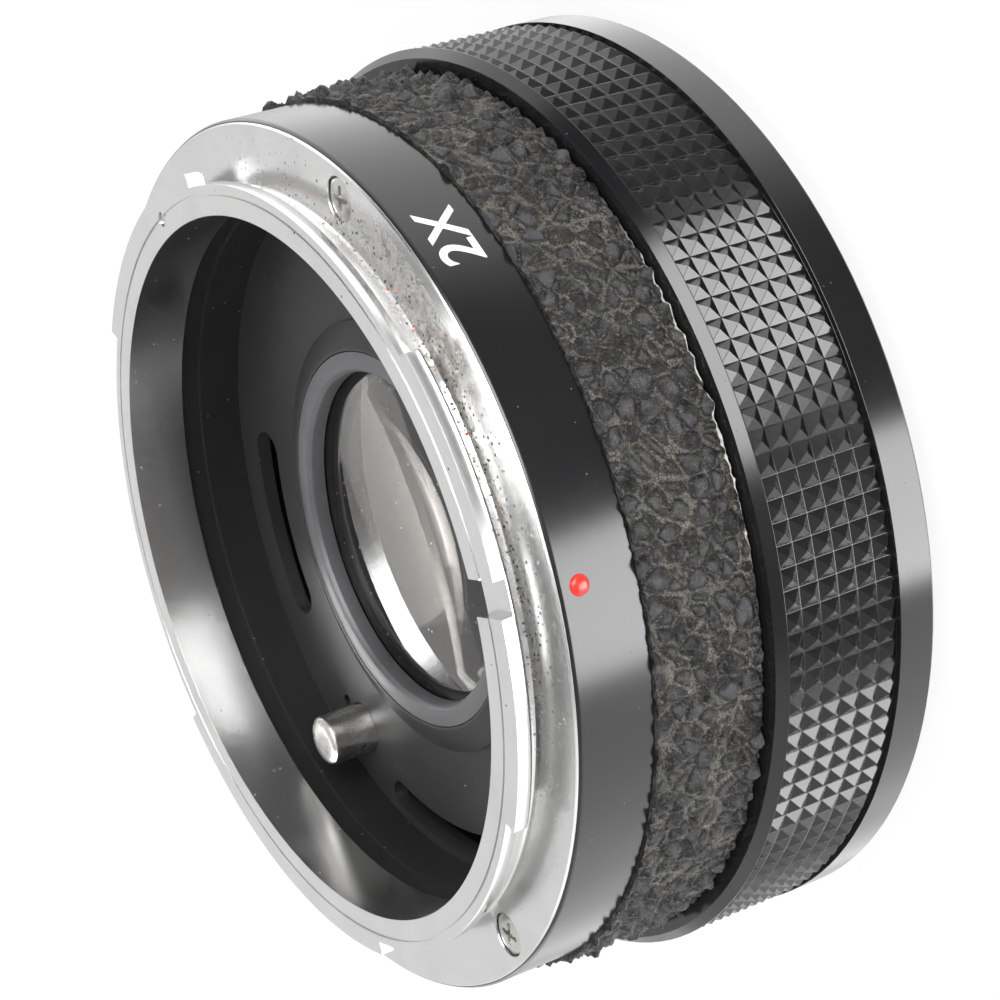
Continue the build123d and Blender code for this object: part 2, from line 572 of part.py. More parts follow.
# Lens cell: neck through the plate, journal for the lever rings, tail through the rear baffle
with BuildPart() as lens_cell:
    with BuildSketch(Plane.XZ):
        with BuildLine():
            Polyline(
                (FRONT_RING_BORE, Z_CELL_TOP),
                (CELL_TOP_RADIUS, Z_CELL_TOP),
                (CELL_NECK_RADIUS, Z_CELL_TOP - CELL_CONE),
                (CELL_NECK_RADIUS, Z_PLATE_SEAT),
                (CELL_JOURNAL_RADIUS, Z_PLATE_SEAT),
                (CELL_JOURNAL_RADIUS, Z_CELL_JOURNAL_LOW),
                (CELL_TAIL_RADIUS, Z_CELL_JOURNAL_LOW),
                (CELL_TAIL_RADIUS, Z_CELL_END),
                (REAR_RING_BORE, Z_CELL_END),
                (REAR_RING_BORE, Z_REAR_RING),
                (GLASS_BORE, Z_REAR_RING),
                (GLASS_BORE, Z_ELEMENT_3),
                (GLASS_BORE - CELL_STOP_WIDTH, Z_ELEMENT_3),
                (GLASS_BORE - CELL_STOP_WIDTH, Z_CELL_STOP),
                (GLASS_BORE, Z_CELL_STOP),
                (GLASS_BORE, Z_ELEMENT_1),
                (FRONT_RING_BORE, Z_ELEMENT_1),
                close=True,
            )
        make_face()
    revolve(axis=Axis.Z)
lens_cell.part.label = "lens_cell"
export_step(lens_cell.part, "parts/lens_cell.step")

# Front retaining ring, the plain grey ring round the glass, relieved over the glass's curve
FRONT_RING_RELIEF = sphere_rise(GLASS_RADIUS, FRONT_BULGES[0], FRONT_RING_INNER) + SEAT_FIT
with BuildPart() as front_retaining_ring:
    with BuildSketch(Plane.XZ):
        with BuildLine():
            Polyline(
                (FRONT_RING_INNER, Z_ELEMENT_1 + FRONT_RING_RELIEF),
                (GLASS_BORE, Z_ELEMENT_1),
                (FRONT_RING_OUTER, Z_ELEMENT_1),
                (FRONT_RING_OUTER, Z_CELL_TOP),
                (FRONT_RING_INNER + FRONT_RING_RELIEF, Z_CELL_TOP),
                (FRONT_RING_INNER, Z_CELL_TOP - FRONT_RING_RELIEF),
                close=True,
            )
        make_face()
    revolve(axis=Axis.Z)
front_retaining_ring.part.label = "front_retaining_ring"
export_step(front_retaining_ring.part, "parts/front_retaining_ring.step")

# Four glass elements, two ahead of the cell's stop and two behind it
ELEMENT_TOPS = (Z_ELEMENT_1, Z_ELEMENT_2, Z_ELEMENT_3, Z_ELEMENT_4)
ELEMENT_NAMES = ("front_element", "second_element", "third_element", "rear_element")
FRONT_REACHES = (GLASS_RADIUS, CLEAR_RADIUS, CLEAR_RADIUS, CLEAR_RADIUS)
for name, top, edge, reach, up, down in zip(
        ELEMENT_NAMES, ELEMENT_TOPS, ELEMENT_EDGES, FRONT_REACHES, FRONT_BULGES, REAR_BULGES):
    low = top - edge
    half = CLEAR_RADIUS / 2
    rim = [(GLASS_RADIUS, top), (GLASS_RADIUS, low), (CLEAR_RADIUS, low)]
    if reach < GLASS_RADIUS:
        rim.insert(0, (reach, top))
    with BuildPart() as element:
        with BuildSketch(Plane.XZ):
            with BuildLine():
                Line((0, low - down), (0, top + up))
                ThreePointArc((0, top + up), (half, top + sphere_rise(reach, up, half)), (reach, top))
                Polyline(*rim)
                ThreePointArc(
                    (CLEAR_RADIUS, low), (half, low - sphere_rise(CLEAR_RADIUS, down, half)), (0, low - down))
            make_face()
        revolve(axis=Axis.Z)
    element.part.label = name
    export_step(element.part, "parts/" + name + ".step")

# Spacer rings between the elements
with BuildPart() as front_spacer:
    with BuildSketch(Plane.XY.offset(Z_ELEMENT_2)):
        Circle(GLASS_RADIUS)
        Circle(GLASS_RADIUS - SPACER_WALL, mode=Mode.SUBTRACT)
    extrude(amount=FRONT_SPACER)
front_spacer.part.label = "front_spacer"
export_step(front_spacer.part, "parts/front_spacer.step")

with BuildPart() as rear_spacer:
    with BuildSketch(Plane.XY.offset(Z_ELEMENT_4)):
        Circle(GLASS_RADIUS)
        Circle(GLASS_RADIUS - SPACER_WALL, mode=Mode.SUBTRACT)
    extrude(amount=REAR_SPACER)
rear_spacer.part.label = "rear_spacer"
export_step(rear_spacer.part, "parts/rear_spacer.step")

# Rear retaining ring with two spanner slots
with BuildPart() as rear_retaining_ring:
    with BuildSketch(Plane.XY.offset(Z_REAR_RING - REAR_RING_HEIGHT)):
        Circle(REAR_RING_OUTER)
        Circle(REAR_RING_INNER, mode=Mode.SUBTRACT)
    extrude(amount=REAR_RING_HEIGHT)
    with BuildSketch(Plane.XY.offset(Z_REAR_RING - REAR_RING_HEIGHT)):
        Rectangle(2 * (REAR_RING_OUTER + OVERRUN), REAR_RING_HEIGHT)
    extrude(amount=REAR_RING_HEIGHT / 2, mode=Mode.SUBTRACT)
rear_retaining_ring.part.label = "rear_retaining_ring"
export_step(rear_retaining_ring.part, "parts/rear_retaining_ring.step")

# Aperture signal ring: one lever up through the wide slot, one down to the camera
with BuildPart() as signal_lever_ring:
    with BuildSketch(Plane.XY.offset(Z_SIGNAL)):
        Circle(LEVER_RING_OUTER)
        Circle(LEVER_RING_BORE, mode=Mode.SUBTRACT)
        add(sector(LEVER_RING_OUTER - OVERRUN, SIGNAL_FRONT_OUTER, SIGNAL_ANGLE, LEVER_SPAN_ANGLE))
    extrude(amount=LEVER_RING_THICKNESS)
    with BuildSketch(Plane.XY.offset(Z_SIGNAL)):
        add(sector(SIGNAL_FRONT_OUTER - SIGNAL_FRONT_WALL, SIGNAL_FRONT_OUTER,
                   SIGNAL_ANGLE, LEVER_SPAN_ANGLE))
    extrude(amount=Z_FLOOR + SIGNAL_RISE - Z_SIGNAL)
    with BuildSketch(Plane.XY.offset(Z_LEVER_TIP)):
        add(sector(SIGNAL_REAR_OUTER - SIGNAL_REAR_WALL, SIGNAL_REAR_OUTER, SIGNAL_ANGLE, LEVER_SPAN_ANGLE))
    extrude(amount=Z_SIGNAL - Z_LEVER_TIP)
signal_lever_ring.part.label = "signal_lever_ring"
export_step(signal_lever_ring.part, "parts/signal_lever_ring.step")

# Stop-down lever ring: a tab just under the narrow slot, and a lever down to the camera
with BuildPart() as aperture_lever_ring:
    with BuildSketch(Plane.XY.offset(Z_APERTURE)):
        Circle(LEVER_RING_OUTER)
        Circle(LEVER_RING_BORE, mode=Mode.SUBTRACT)
        add(sector(LEVER_RING_OUTER - OVERRUN, APERTURE_OUTER, APERTURE_ANGLE, LEVER_SPAN_ANGLE))
    extrude(amount=LEVER_RING_THICKNESS)
    with BuildSketch(Plane.XY.offset(Z_LEVER_TIP)):
        add(sector(APERTURE_INNER, APERTURE_OUTER, APERTURE_ANGLE, LEVER_SPAN_ANGLE))
    extrude(amount=Z_PLATE_SEAT - LEVEL_GAP - Z_LEVER_TIP)
aperture_lever_ring.part.label = "aperture_lever_ring"
export_step(aperture_lever_ring.part, "parts/aperture_lever_ring.step")

# Fixed washer between the two lever rings, and the clip that keeps them on the journal
with BuildPart() as lever_separator:
    with BuildSketch(Plane.XY.offset(Z_SEPARATOR)):
        Circle(CELL_JOURNAL_RADIUS + SEPARATOR_WIDTH)
        Circle(CELL_JOURNAL_RADIUS, mode=Mode.SUBTRACT)
    extrude(amount=SEPARATOR_THICKNESS)
lever_separator.part.label = "lever_separator"
export_step(lever_separator.part, "parts/lever_separator.step")

with BuildPart() as lever_clip:
    with BuildSketch(Plane.XY.offset(Z_CLIP)):
        add(sector(CELL_JOURNAL_RADIUS, CELL_JOURNAL_RADIUS + CLIP_WIDTH, CLIP_ANGLE, CLIP_SPAN_ANGLE))
    extrude(amount=CLIP_THICKNESS)
lever_clip.part.label = "lever_clip"
export_step(lever_clip.part, "parts/lever_clip.step")

# Flat spiral return springs, one over each lever ring, wound out from the journal in half turns
with BuildSketch() as spiral:
    with BuildLine():
        for turn in range(SPRING_HALF_TURNS):
            reach = LEVER_RING_BORE + (SPRING_STRIP + turn * SPRING_PITCH) / 2
            if turn % 2 == 0:
                CenterArc((0, 0), reach, TWELVE_ANGLE, HALF_TURN)
            else:
                CenterArc((0, -SPRING_PITCH / 2), reach, TWELVE_ANGLE + HALF_TURN, HALF_TURN)
    trace(line_width=SPRING_STRIP)

with BuildPart() as return_springs:
    for level in (Z_SPRING_1, Z_SPRING_2):
        with BuildSketch(Plane.XY.offset(level)):
            add(spiral.sketch)
        extrude(amount=SPRING_HEIGHT)
return_springs.part.label = "return_springs"
export_step(return_springs.part, "parts/return_springs.step")

# Sprung pin: a domed steel post by the wall of the throat, carried through to the camera side
PIN_PLACE = clock(PIN_CIRCLE, PIN_ANGLE)
Z_PIN_TOP = Z_FLOOR + PIN_RISE
Z_PIN_COLLAR = Z_PLATE_SEAT - PIN_BODY_DROP
Z_PIN_END = Z_FACE - PIN_TAIL_REACH
with BuildPart() as aperture_pin:
    with BuildSketch(Plane.XY.offset(Z_PIN_COLLAR)):
        with Locations(PIN_PLACE):
            Circle(PIN_RADIUS)
    extrude(amount=Z_PIN_TOP - Z_PIN_COLLAR)
    fillet(aperture_pin.faces().sort_by(Axis.Z)[-1].edges(), radius=PIN_TIP_FILLET)
    with BuildSketch(Plane.XY.offset(Z_PIN_END)):
        with Locations(PIN_PLACE):
            Circle(PIN_TAIL_RADIUS)
    extrude(amount=Z_PIN_COLLAR - Z_PIN_END)
aperture_pin.part.label = "aperture_pin"
export_step(aperture_pin.part, "parts/aperture_pin.step")

# Its coil spring, between the pin's shoulder and the rear baffle
COIL_LENGTH = Z_PIN_COLLAR - Z_BAFFLE_TOP - 2 * COIL_WIRE
with BuildPart() as aperture_pin_spring:
    with BuildLine(Plane(origin=(*PIN_PLACE, Z_BAFFLE_TOP + COIL_WIRE))):
        coil = Helix(COIL_LENGTH / COIL_TURNS, COIL_LENGTH, COIL_RADIUS)
    with BuildSketch(Plane(origin=coil @ 0, z_dir=coil % 0)):
        Circle(COIL_WIRE)
    sweep(path=coil, is_frenet=True)
aperture_pin_spring.part.label = "aperture_pin_spring"
export_step(aperture_pin_spring.part, "parts/aperture_pin_spring.step")

# Camera-side mount: raised registration land, spigot, holes for screws and pins
with BuildPart() as rear_mount:
    with BuildSketch(Plane.XZ):
        with BuildLine():
            Polyline(
                (SPIGOT_BORE, Z_PLATE_TOP),
                (MOUNT_PLATE_RADIUS, Z_PLATE_TOP),
                (MOUNT_PLATE_RADIUS, Z_PLATE_FACE),
                (NECK_OUTER, Z_PLATE_FACE),
                (NECK_OUTER, Z_FACE),
                (SPIGOT_RADIUS + REAR_LAND_GAP, Z_FACE),
                (SPIGOT_RADIUS + REAR_LAND_GAP, Z_PLATE_FACE),
                (SPIGOT_RADIUS, Z_PLATE_FACE),
                (SPIGOT_RADIUS, Z_FACE - SPIGOT_LENGTH + SPIGOT_CHAMFER),
                (SPIGOT_RADIUS - SPIGOT_CHAMFER, Z_FACE - SPIGOT_LENGTH),
                (SPIGOT_BORE, Z_FACE - SPIGOT_LENGTH),
                close=True,
            )
        make_face()
    revolve(axis=Axis.Z)
    with BuildSketch(Plane.XY.offset(Z_PLATE_FACE)):
        with Locations(*[clock(REAR_SCREW_CIRCLE, a) for a in REAR_SCREW_ANGLES]):
            Circle(REAR_SCREW_SHANK + SEAT_FIT)
        with Locations(clock(LOCATING_PIN_CIRCLE, 0)):
            Circle(LOCATING_PIN_SHANK)
        with Locations(clock(RELEASE_PIN_CIRCLE, RELEASE_PIN_ANGLE)):
            Circle(RELEASE_PIN_RADIUS + RUNNING_CLEARANCE)
    extrude(amount=MOUNT_PLATE_THICKNESS - REAR_LAND_RISE, mode=Mode.SUBTRACT)
    sunk_heads(REAR_SCREW_CIRCLE, REAR_SCREW_ANGLES, Z_PLATE_FACE + SCREW_RECESS,
               REAR_SCREW_HEAD, REAR_SCREW_SHANK, mode=Mode.SUBTRACT, facing_down=True)
    with BuildSketch(Plane.XY.offset(Z_PLATE_FACE)):
        with Locations(*[clock(REAR_SCREW_CIRCLE, a) for a in REAR_SCREW_ANGLES]):
            Circle(REAR_SCREW_HEAD)
    extrude(amount=SCREW_RECESS, mode=Mode.SUBTRACT)
rear_mount.part.label = "rear_mount"
export_step(rear_mount.part, "parts/rear_mount.step")

# Screws of the camera-side mount, all between the breech lugs
with BuildPart() as rear_mount_screws:
    sunk_heads(REAR_SCREW_CIRCLE, REAR_SCREW_ANGLES, Z_PLATE_FACE + SCREW_RECESS,
               REAR_SCREW_HEAD, REAR_SCREW_SHANK, facing_down=True)
    with BuildSketch(Plane.XY.offset(Z_PLATE_FACE + SCREW_RECESS)):
        with Locations(*[clock(REAR_SCREW_CIRCLE, a) for a in REAR_SCREW_ANGLES]):
            Circle(REAR_SCREW_SHANK)
    extrude(amount=REAR_SCREW_LENGTH - REAR_LAND_RISE - SCREW_RECESS)
    with BuildSketch(Plane.XY.offset(Z_PLATE_FACE + SCREW_RECESS)):
        for angle in REAR_SCREW_ANGLES:
            with Locations(Location((*clock(REAR_SCREW_CIRCLE, angle), 0), angle)):
                Rectangle(REAR_SCREW_HEAD, SCREW_SLOT)
                Rectangle(SCREW_SLOT, REAR_SCREW_HEAD)
    extrude(amount=SCREW_SLOT_DEPTH, mode=Mode.SUBTRACT)
rear_mount_screws.part.label = "rear_mount_screws"
export_step(rear_mount_screws.part, "parts/rear_mount_screws.step")

# Fixed positioning pin, which enters the notch of the camera's mount
with BuildPart() as positioning_pin:
    with BuildSketch(Plane.XY.offset(Z_FACE - LOCATING_PIN_REACH)):
        with Locations(clock(LOCATING_PIN_CIRCLE, 0)):
            Circle(LOCATING_PIN_RADIUS)
    extrude(amount=LOCATING_PIN_REACH + REAR_LAND_RISE)
    chamfer(positioning_pin.faces().sort_by(Axis.Z)[0].edges(), length=LOCATING_PIN_CHAMFER)
    with BuildSketch(Plane.XY.offset(Z_PLATE_FACE)):
        with Locations(clock(LOCATING_PIN_CIRCLE, 0)):
            Circle(LOCATING_PIN_SHANK)
    extrude(amount=MOUNT_PLATE_THICKNESS - REAR_LAND_RISE)
positioning_pin.part.label = "positioning_pin"
export_step(positioning_pin.part, "parts/positioning_pin.step")

# Sprung release pin of the breech ring, pushed in by the camera's mount
RELEASE_PLACE = clock(RELEASE_PIN_CIRCLE, RELEASE_PIN_ANGLE)
Z_RELEASE_HEAD = Z_PLATE_TOP + SEAT_FIT
with BuildPart() as release_pin:
    with BuildSketch(Plane.XY.offset(Z_FACE - RELEASE_PIN_REACH)):
        with Locations(RELEASE_PLACE):
            Circle(RELEASE_PIN_RADIUS)
    extrude(amount=Z_RELEASE_HEAD - Z_FACE + RELEASE_PIN_REACH)
    with BuildSketch(Plane.XY.offset(Z_RELEASE_HEAD)):
        with Locations(RELEASE_PLACE):
            Circle(RELEASE_PIN_HEAD)
    extrude(amount=RELEASE_PIN_HEAD_HEIGHT)
release_pin.part.label = "release_pin"
export_step(release_pin.part, "parts/release_pin.step")

# Its coil spring, in the barrel's pocket
Z_RELEASE_COIL = Z_RELEASE_HEAD + RELEASE_PIN_HEAD_HEIGHT + RELEASE_COIL_WIRE
RELEASE_COIL_LENGTH = Z_PLATE_TOP + RELEASE_POCKET_DEPTH - RELEASE_COIL_WIRE - Z_RELEASE_COIL
with BuildPart() as release_pin_spring:
    with BuildLine(Plane(origin=(*RELEASE_PLACE, Z_RELEASE_COIL))):
        small_coil = Helix(RELEASE_COIL_LENGTH / RELEASE_COIL_TURNS, RELEASE_COIL_LENGTH,
                           RELEASE_PIN_HEAD - 2 * RELEASE_COIL_WIRE)
    with BuildSketch(Plane(origin=small_coil @ 0, z_dir=small_coil % 0)):
        Circle(RELEASE_COIL_WIRE)
    sweep(path=small_coil, is_frenet=True)
release_pin_spring.part.label = "release_pin_spring"
export_step(release_pin_spring.part, "parts/release_pin_spring.step")

# Rear baffle: black plate with the levers' slots, a collar that holds the cell's tail in line,
# and the skirt round the rear glass
with BuildPart() as rear_baffle:
    with BuildSketch(Plane.XY.offset(Z_PLATE_TOP)):
        Circle(BAFFLE_SEAT_RADIUS - SEAT_FIT)
        Circle(CELL_TAIL_RADIUS + SEAT_FIT, mode=Mode.SUBTRACT)
        add(sector(APERTURE_INNER - BAFFLE_SLOT_MARGIN, APERTURE_OUTER + BAFFLE_SLOT_MARGIN,
                   NARROW_SLOT_ANGLE, NARROW_SLOT_SPAN_ANGLE), mode=Mode.SUBTRACT)
        add(sector(SIGNAL_REAR_OUTER - SIGNAL_REAR_WALL - BAFFLE_SLOT_MARGIN,
                   SIGNAL_REAR_OUTER + BAFFLE_SLOT_MARGIN,
                   WIDE_SLOT_ANGLE, WIDE_SLOT_SPAN_ANGLE), mode=Mode.SUBTRACT)
        with Locations(PIN_PLACE):
            Circle(PIN_TAIL_RADIUS + RUNNING_CLEARANCE, mode=Mode.SUBTRACT)
    extrude(amount=BAFFLE_THICKNESS)
    with BuildSketch(Plane.XY.offset(Z_PLATE_TOP)):
        Circle(CELL_TAIL_RADIUS + SEAT_FIT + COLLAR_WALL)
        Circle(CELL_TAIL_RADIUS + SEAT_FIT, mode=Mode.SUBTRACT)
    extrude(amount=Z_COLLAR_TOP - Z_PLATE_TOP)
    with BuildSketch(Plane.XY):
        Circle(SKIRT_BORE + SKIRT_WALL)
        Circle(SKIRT_BORE, mode=Mode.SUBTRACT)
    extrude(amount=Z_PLATE_TOP)
rear_baffle.part.label = "rear_baffle"
export_step(rear_baffle.part, "parts/rear_baffle.step")

# Breech ring shell. A toothed bar gives the grooves that run lengthways, and the stack of polygons
# that it is cut down to gives the ones that run round, which leaves rows of four-sided pyramids.
# The front land, the plain rear land and the wall under the teeth are turned on to it
Z_KNURL_TOP = Z_SHELL_FRONT - FRONT_LAND
Z_KNURL_LOW = Z_RING_REAR + REAR_LAND
KNURL_PITCH = (Z_KNURL_TOP - Z_KNURL_LOW) / KNURL_ROWS
KNURL_VALLEY = SHELL_RADIUS - KNURL_DEPTH
TOOTH_ANGLE = FULL_TURN / KNURL_COLUMNS
with BuildPart() as breech_ring:
    with BuildSketch(Plane.XY.offset(Z_KNURL_LOW)):
        teeth = []
        for column in range(KNURL_COLUMNS):
            valley_angle = column * TOOTH_ANGLE - TWELVE_ANGLE
            teeth.append(clock(KNURL_VALLEY, valley_angle))
            teeth.append(clock(SHELL_RADIUS, valley_angle + TOOTH_ANGLE / 2))
        with BuildLine():
            Polyline(*teeth, close=True)
        make_face()
        Circle(KNURL_VALLEY - 2 * KNURL_ROOT, mode=Mode.SUBTRACT)
    extrude(amount=Z_KNURL_TOP - Z_KNURL_LOW)
    for level in range(2 * KNURL_ROWS + 1):
        with BuildSketch(Plane.XY.offset(Z_KNURL_LOW + level * KNURL_PITCH / 2)):
            RegularPolygon(KNURL_VALLEY + KNURL_DEPTH * (level % 2), KNURL_COLUMNS)
    loft(ruled=True, mode=Mode.INTERSECT)
    with BuildSketch(Plane.XZ):
        with BuildLine():
            Polyline(
                (SHELL_BORE, Z_SHELL_FRONT),
                (SHELL_RADIUS - FRONT_CHAMFER, Z_SHELL_FRONT),
                (SHELL_RADIUS, Z_SHELL_FRONT - FRONT_CHAMFER),
                (SHELL_RADIUS, Z_KNURL_TOP),
                (KNURL_VALLEY - KNURL_ROOT, Z_KNURL_TOP),
                (KNURL_VALLEY - KNURL_ROOT, Z_KNURL_LOW),
                (SHELL_RADIUS, Z_KNURL_LOW),
                (SHELL_RADIUS, Z_RING_REAR + SHELL_CHAMFER),
                (SHELL_RADIUS - SHELL_CHAMFER, Z_RING_REAR),
                (LUG_RING_SEAT_RADIUS, Z_RING_REAR),
                (LUG_RING_SEAT_RADIUS, Z_LUG_RING_SEAT),
                (SHELL_BORE, Z_LUG_RING_SEAT),
                close=True,
            )
        make_face()
    revolve(axis=Axis.Z)
    for angle in RING_SCREW_ANGLES:
        with BuildSketch(Plane(origin=(*clock(LUG_RING_RADIUS, angle), Z_FACE + RING_SCREW_DROP),
                               z_dir=outward(angle))):
            Circle(RING_SCREW_RADIUS)
        extrude(amount=RING_SCREW_DEPTH, mode=Mode.SUBTRACT)
breech_ring.part.label = "breech_ring"
export_step(breech_ring.part, "parts/breech_ring.step")

# Steel lug ring inside the shell, with the rib that keeps it on the barrel and three inner lugs
Z_RIB_LOW = Z_PLATE_TOP + SEAT_FIT
Z_INNER_LUG_LOW = Z_FACE - INNER_LUG_GAP - INNER_LUG_THICKNESS
with BuildPart() as breech_lug_ring:
    with BuildSketch(Plane.XZ):
        with BuildLine():
            Polyline(
                (RIB_RADIUS, Z_LUG_RING_SEAT),
                (LUG_RING_RADIUS, Z_LUG_RING_SEAT),
                (LUG_RING_RADIUS, Z_INNER_LUG_LOW),
                (LUG_RING_BORE, Z_INNER_LUG_LOW),
                (LUG_RING_BORE, Z_RIB_LOW),
                (RIB_RADIUS, Z_RIB_LOW),
                close=True,
            )
        make_face()
    revolve(axis=Axis.Z)
    with BuildSketch(Plane.XY.offset(Z_INNER_LUG_LOW)):
        for angle in INNER_LUG_ANGLES:
            add(sector(SPIGOT_RADIUS + INNER_LUG_OUTSET, LUG_RING_RADIUS - SEAT_FIT,
                       angle, INNER_LUG_SPAN_ANGLE))
    extrude(amount=INNER_LUG_THICKNESS)
    for angle in RING_SCREW_ANGLES:
        with BuildSketch(Plane(origin=(*clock(LUG_RING_BORE - OVERRUN, angle), Z_FACE + RING_SCREW_DROP),
                               z_dir=outward(angle))):
            Circle(RING_SCREW_RADIUS)
        extrude(amount=LUG_RING_RADIUS - LUG_RING_BORE + OVERRUN, mode=Mode.SUBTRACT)
breech_lug_ring.part.label = "breech_lug_ring"
export_step(breech_lug_ring.part, "parts/breech_lug_ring.step")

# Three radial screws that hold the lug ring in the shell
with BuildPart() as breech_ring_screws:
    for angle in RING_SCREW_ANGLES:
        with BuildSketch(Plane(origin=(*clock(LUG_RING_BORE + SEAT_FIT, angle), Z_FACE + RING_SCREW_DROP),
                               z_dir=outward(angle))):
            Circle(RING_SCREW_RADIUS - SEAT_FIT)
        extrude(amount=LUG_RING_RADIUS - LUG_RING_BORE - SEAT_FIT + RING_SCREW_DEPTH)
breech_ring_screws.part.label = "breech_ring_screws"
export_step(breech_ring_screws.part, "parts/breech_ring_screws.step")
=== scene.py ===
"""Looks of a 2x camera teleconverter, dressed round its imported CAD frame.

Sizes are millimetres and become metres where a piece is made.
The axis is Z, the lens side is up, and 12 o'clock with the red bead is -Y.
Clock angles grow from 12 o'clock towards +X.
"""

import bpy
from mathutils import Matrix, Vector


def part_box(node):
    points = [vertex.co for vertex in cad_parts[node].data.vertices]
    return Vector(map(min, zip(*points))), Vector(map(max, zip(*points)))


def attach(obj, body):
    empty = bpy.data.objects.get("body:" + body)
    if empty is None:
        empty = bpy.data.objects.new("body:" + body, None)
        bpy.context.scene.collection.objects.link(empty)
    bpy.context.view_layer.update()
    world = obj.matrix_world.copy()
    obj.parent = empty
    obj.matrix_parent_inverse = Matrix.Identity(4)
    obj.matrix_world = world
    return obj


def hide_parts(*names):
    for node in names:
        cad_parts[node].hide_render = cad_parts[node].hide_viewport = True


bl_info = {
    "name": "Teleconverter Looks",
    "version": (1, 0, 0),
    "blender": (4, 5, 0),
    "location": "3D View > Sidebar > Converter",
    "description": "Models and dresses a camera teleconverter round its CAD frame",
    "category": "Object",
}

from math import cos, degrees, hypot, pi, radians, sin, sqrt

import bmesh
import bpy
from mathutils import Vector

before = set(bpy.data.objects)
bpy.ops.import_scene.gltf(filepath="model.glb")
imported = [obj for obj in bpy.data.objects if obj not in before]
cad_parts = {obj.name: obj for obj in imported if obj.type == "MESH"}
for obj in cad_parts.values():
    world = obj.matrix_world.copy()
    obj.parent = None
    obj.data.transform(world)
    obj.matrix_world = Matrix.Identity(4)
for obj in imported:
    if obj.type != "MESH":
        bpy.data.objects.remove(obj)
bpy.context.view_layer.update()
MM = 0.001


def heights(node):
    """Lowest and highest point of a CAD node in millimetres."""
    return [corner.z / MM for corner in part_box(node)]


# Heights from the table up
Z_THROAT_END, Z_FRONT = heights("lens_mount_ring")
Z_GROOVE = Z_FRONT - 0.15
Z_LUG_LOW = Z_FRONT - 1.2
Z_RIM_LOW = Z_FRONT - 0.9
Z_FLANGE = Z_FRONT - 2.45
Z_NAME_REAR, Z_SEAT = heights("name_ring")
Z_SPIGOT_SEAT = Z_SEAT - 1.0
Z_THROAT_STEP = Z_FRONT - 5.64
Z_BAND_REAR, Z_BAND_FRONT = heights("grip_band")
Z_SHOULDER = Z_BAND_REAR - 0.1
Z_SHELL_REAR, Z_SHELL_FRONT = heights("breech_ring")
Z_FLOOR_LOW, Z_FLOOR = heights("mechanism_plate")
Z_LEDGE_END = Z_FLOOR_LOW - 0.7
Z_CELL_END, Z_CELL_TOP = heights("lens_cell")
Z_PLATE_TOP = heights("rear_mount")[1]
Z_FACE = Z_PLATE_TOP - 1.6
Z_PLATE_FACE = Z_FACE + 0.1
Z_BAFFLE_TOP = Z_PLATE_TOP + 1.0
Z_COLLAR_TOP = heights("rear_baffle")[1]
Z_JOURNAL_END = Z_PLATE_TOP + 2.4
Z_JOURNAL_LOW = Z_COLLAR_TOP + 2.0
Z_INNER_LUG_LOW, Z_LUG_RING_SEAT = heights("breech_lug_ring")
Z_INNER_LUG_TOP = Z_INNER_LUG_LOW + 1.2

# Radii
THROAT = 24.0
LAND_OUTER = 25.3
GROOVE_OUTER = 25.5
RIM = 26.05
LUG = 26.95
NECK = 25.2
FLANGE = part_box("lens_mount_ring")[1].x / MM
SPIGOT_SEAT = 28.7
NAME_SEAT = 29.0
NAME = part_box("name_ring")[1].x / MM
BARREL = 29.4
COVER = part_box("grip_band")[1].x / MM
JOURNAL = 28.9
TAIL = 27.8
THROAT_BORE = 24.25
SLEEVE = 25.0
PLATE_BORE = 23.95
LEDGE = 23.2
CAVITY = 24.2
BAFFLE_SEAT = 25.0
SHELL_BORE = 28.95
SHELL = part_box("breech_ring")[1].x / MM
LUG_RING_SEAT = 30.0
LUG_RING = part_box("breech_lug_ring")[1].x / MM
LUG_RING_BORE = 28.75
RIB = 27.95
INNER_LUG = 25.75
MOUNT_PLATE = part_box("rear_mount")[1].x / MM
SPIGOT = 23.9
SPIGOT_BORE = 22.6
CELL_JOURNAL = 15.5
CELL_NECK = 15.05
CELL_TAIL = 14.8
CELL_TOP = 13.35
FRONT_RING_OUTER = 13.05
FRONT_RING_INNER = 11.6
GLASS_BORE = 12.0
GLASS = 11.95
GLASS_CLEAR = 10.55
REAR_RING_BORE = 12.6
SKIRT_BORE = 16.0
SKIRT = 17.2

# Small features
PAST = 0.5  # how far a cutter stands out past the face that it cuts
FLANGE_EDGE = 0.12
NOTCH = (2.3, 4.2, 1.6)
SCREW_SINK = 1.46
SCREW_HEAD = 1.36
SCREW_SHANK = 0.8
SCREW_RECESS = 0.16
SCREW_CROSS = (0.34, 1.7, 0.9)
STOP_PIN_HOLE = 0.5
VENT_HOLE = 0.45
POST_STEM = 1.2
POST_HEAD = 1.8
LAND_CHAMFER = 0.6
REAR_CHAMFER = 0.25
KNURL_TOP = Z_SHELL_FRONT - 0.65
KNURL_LOW = Z_SHELL_REAR + 2.77
FRONT_BULGE = 1.1
FIGURE_ANGLE = 44.0
FIGURE_STRIP = 0.35

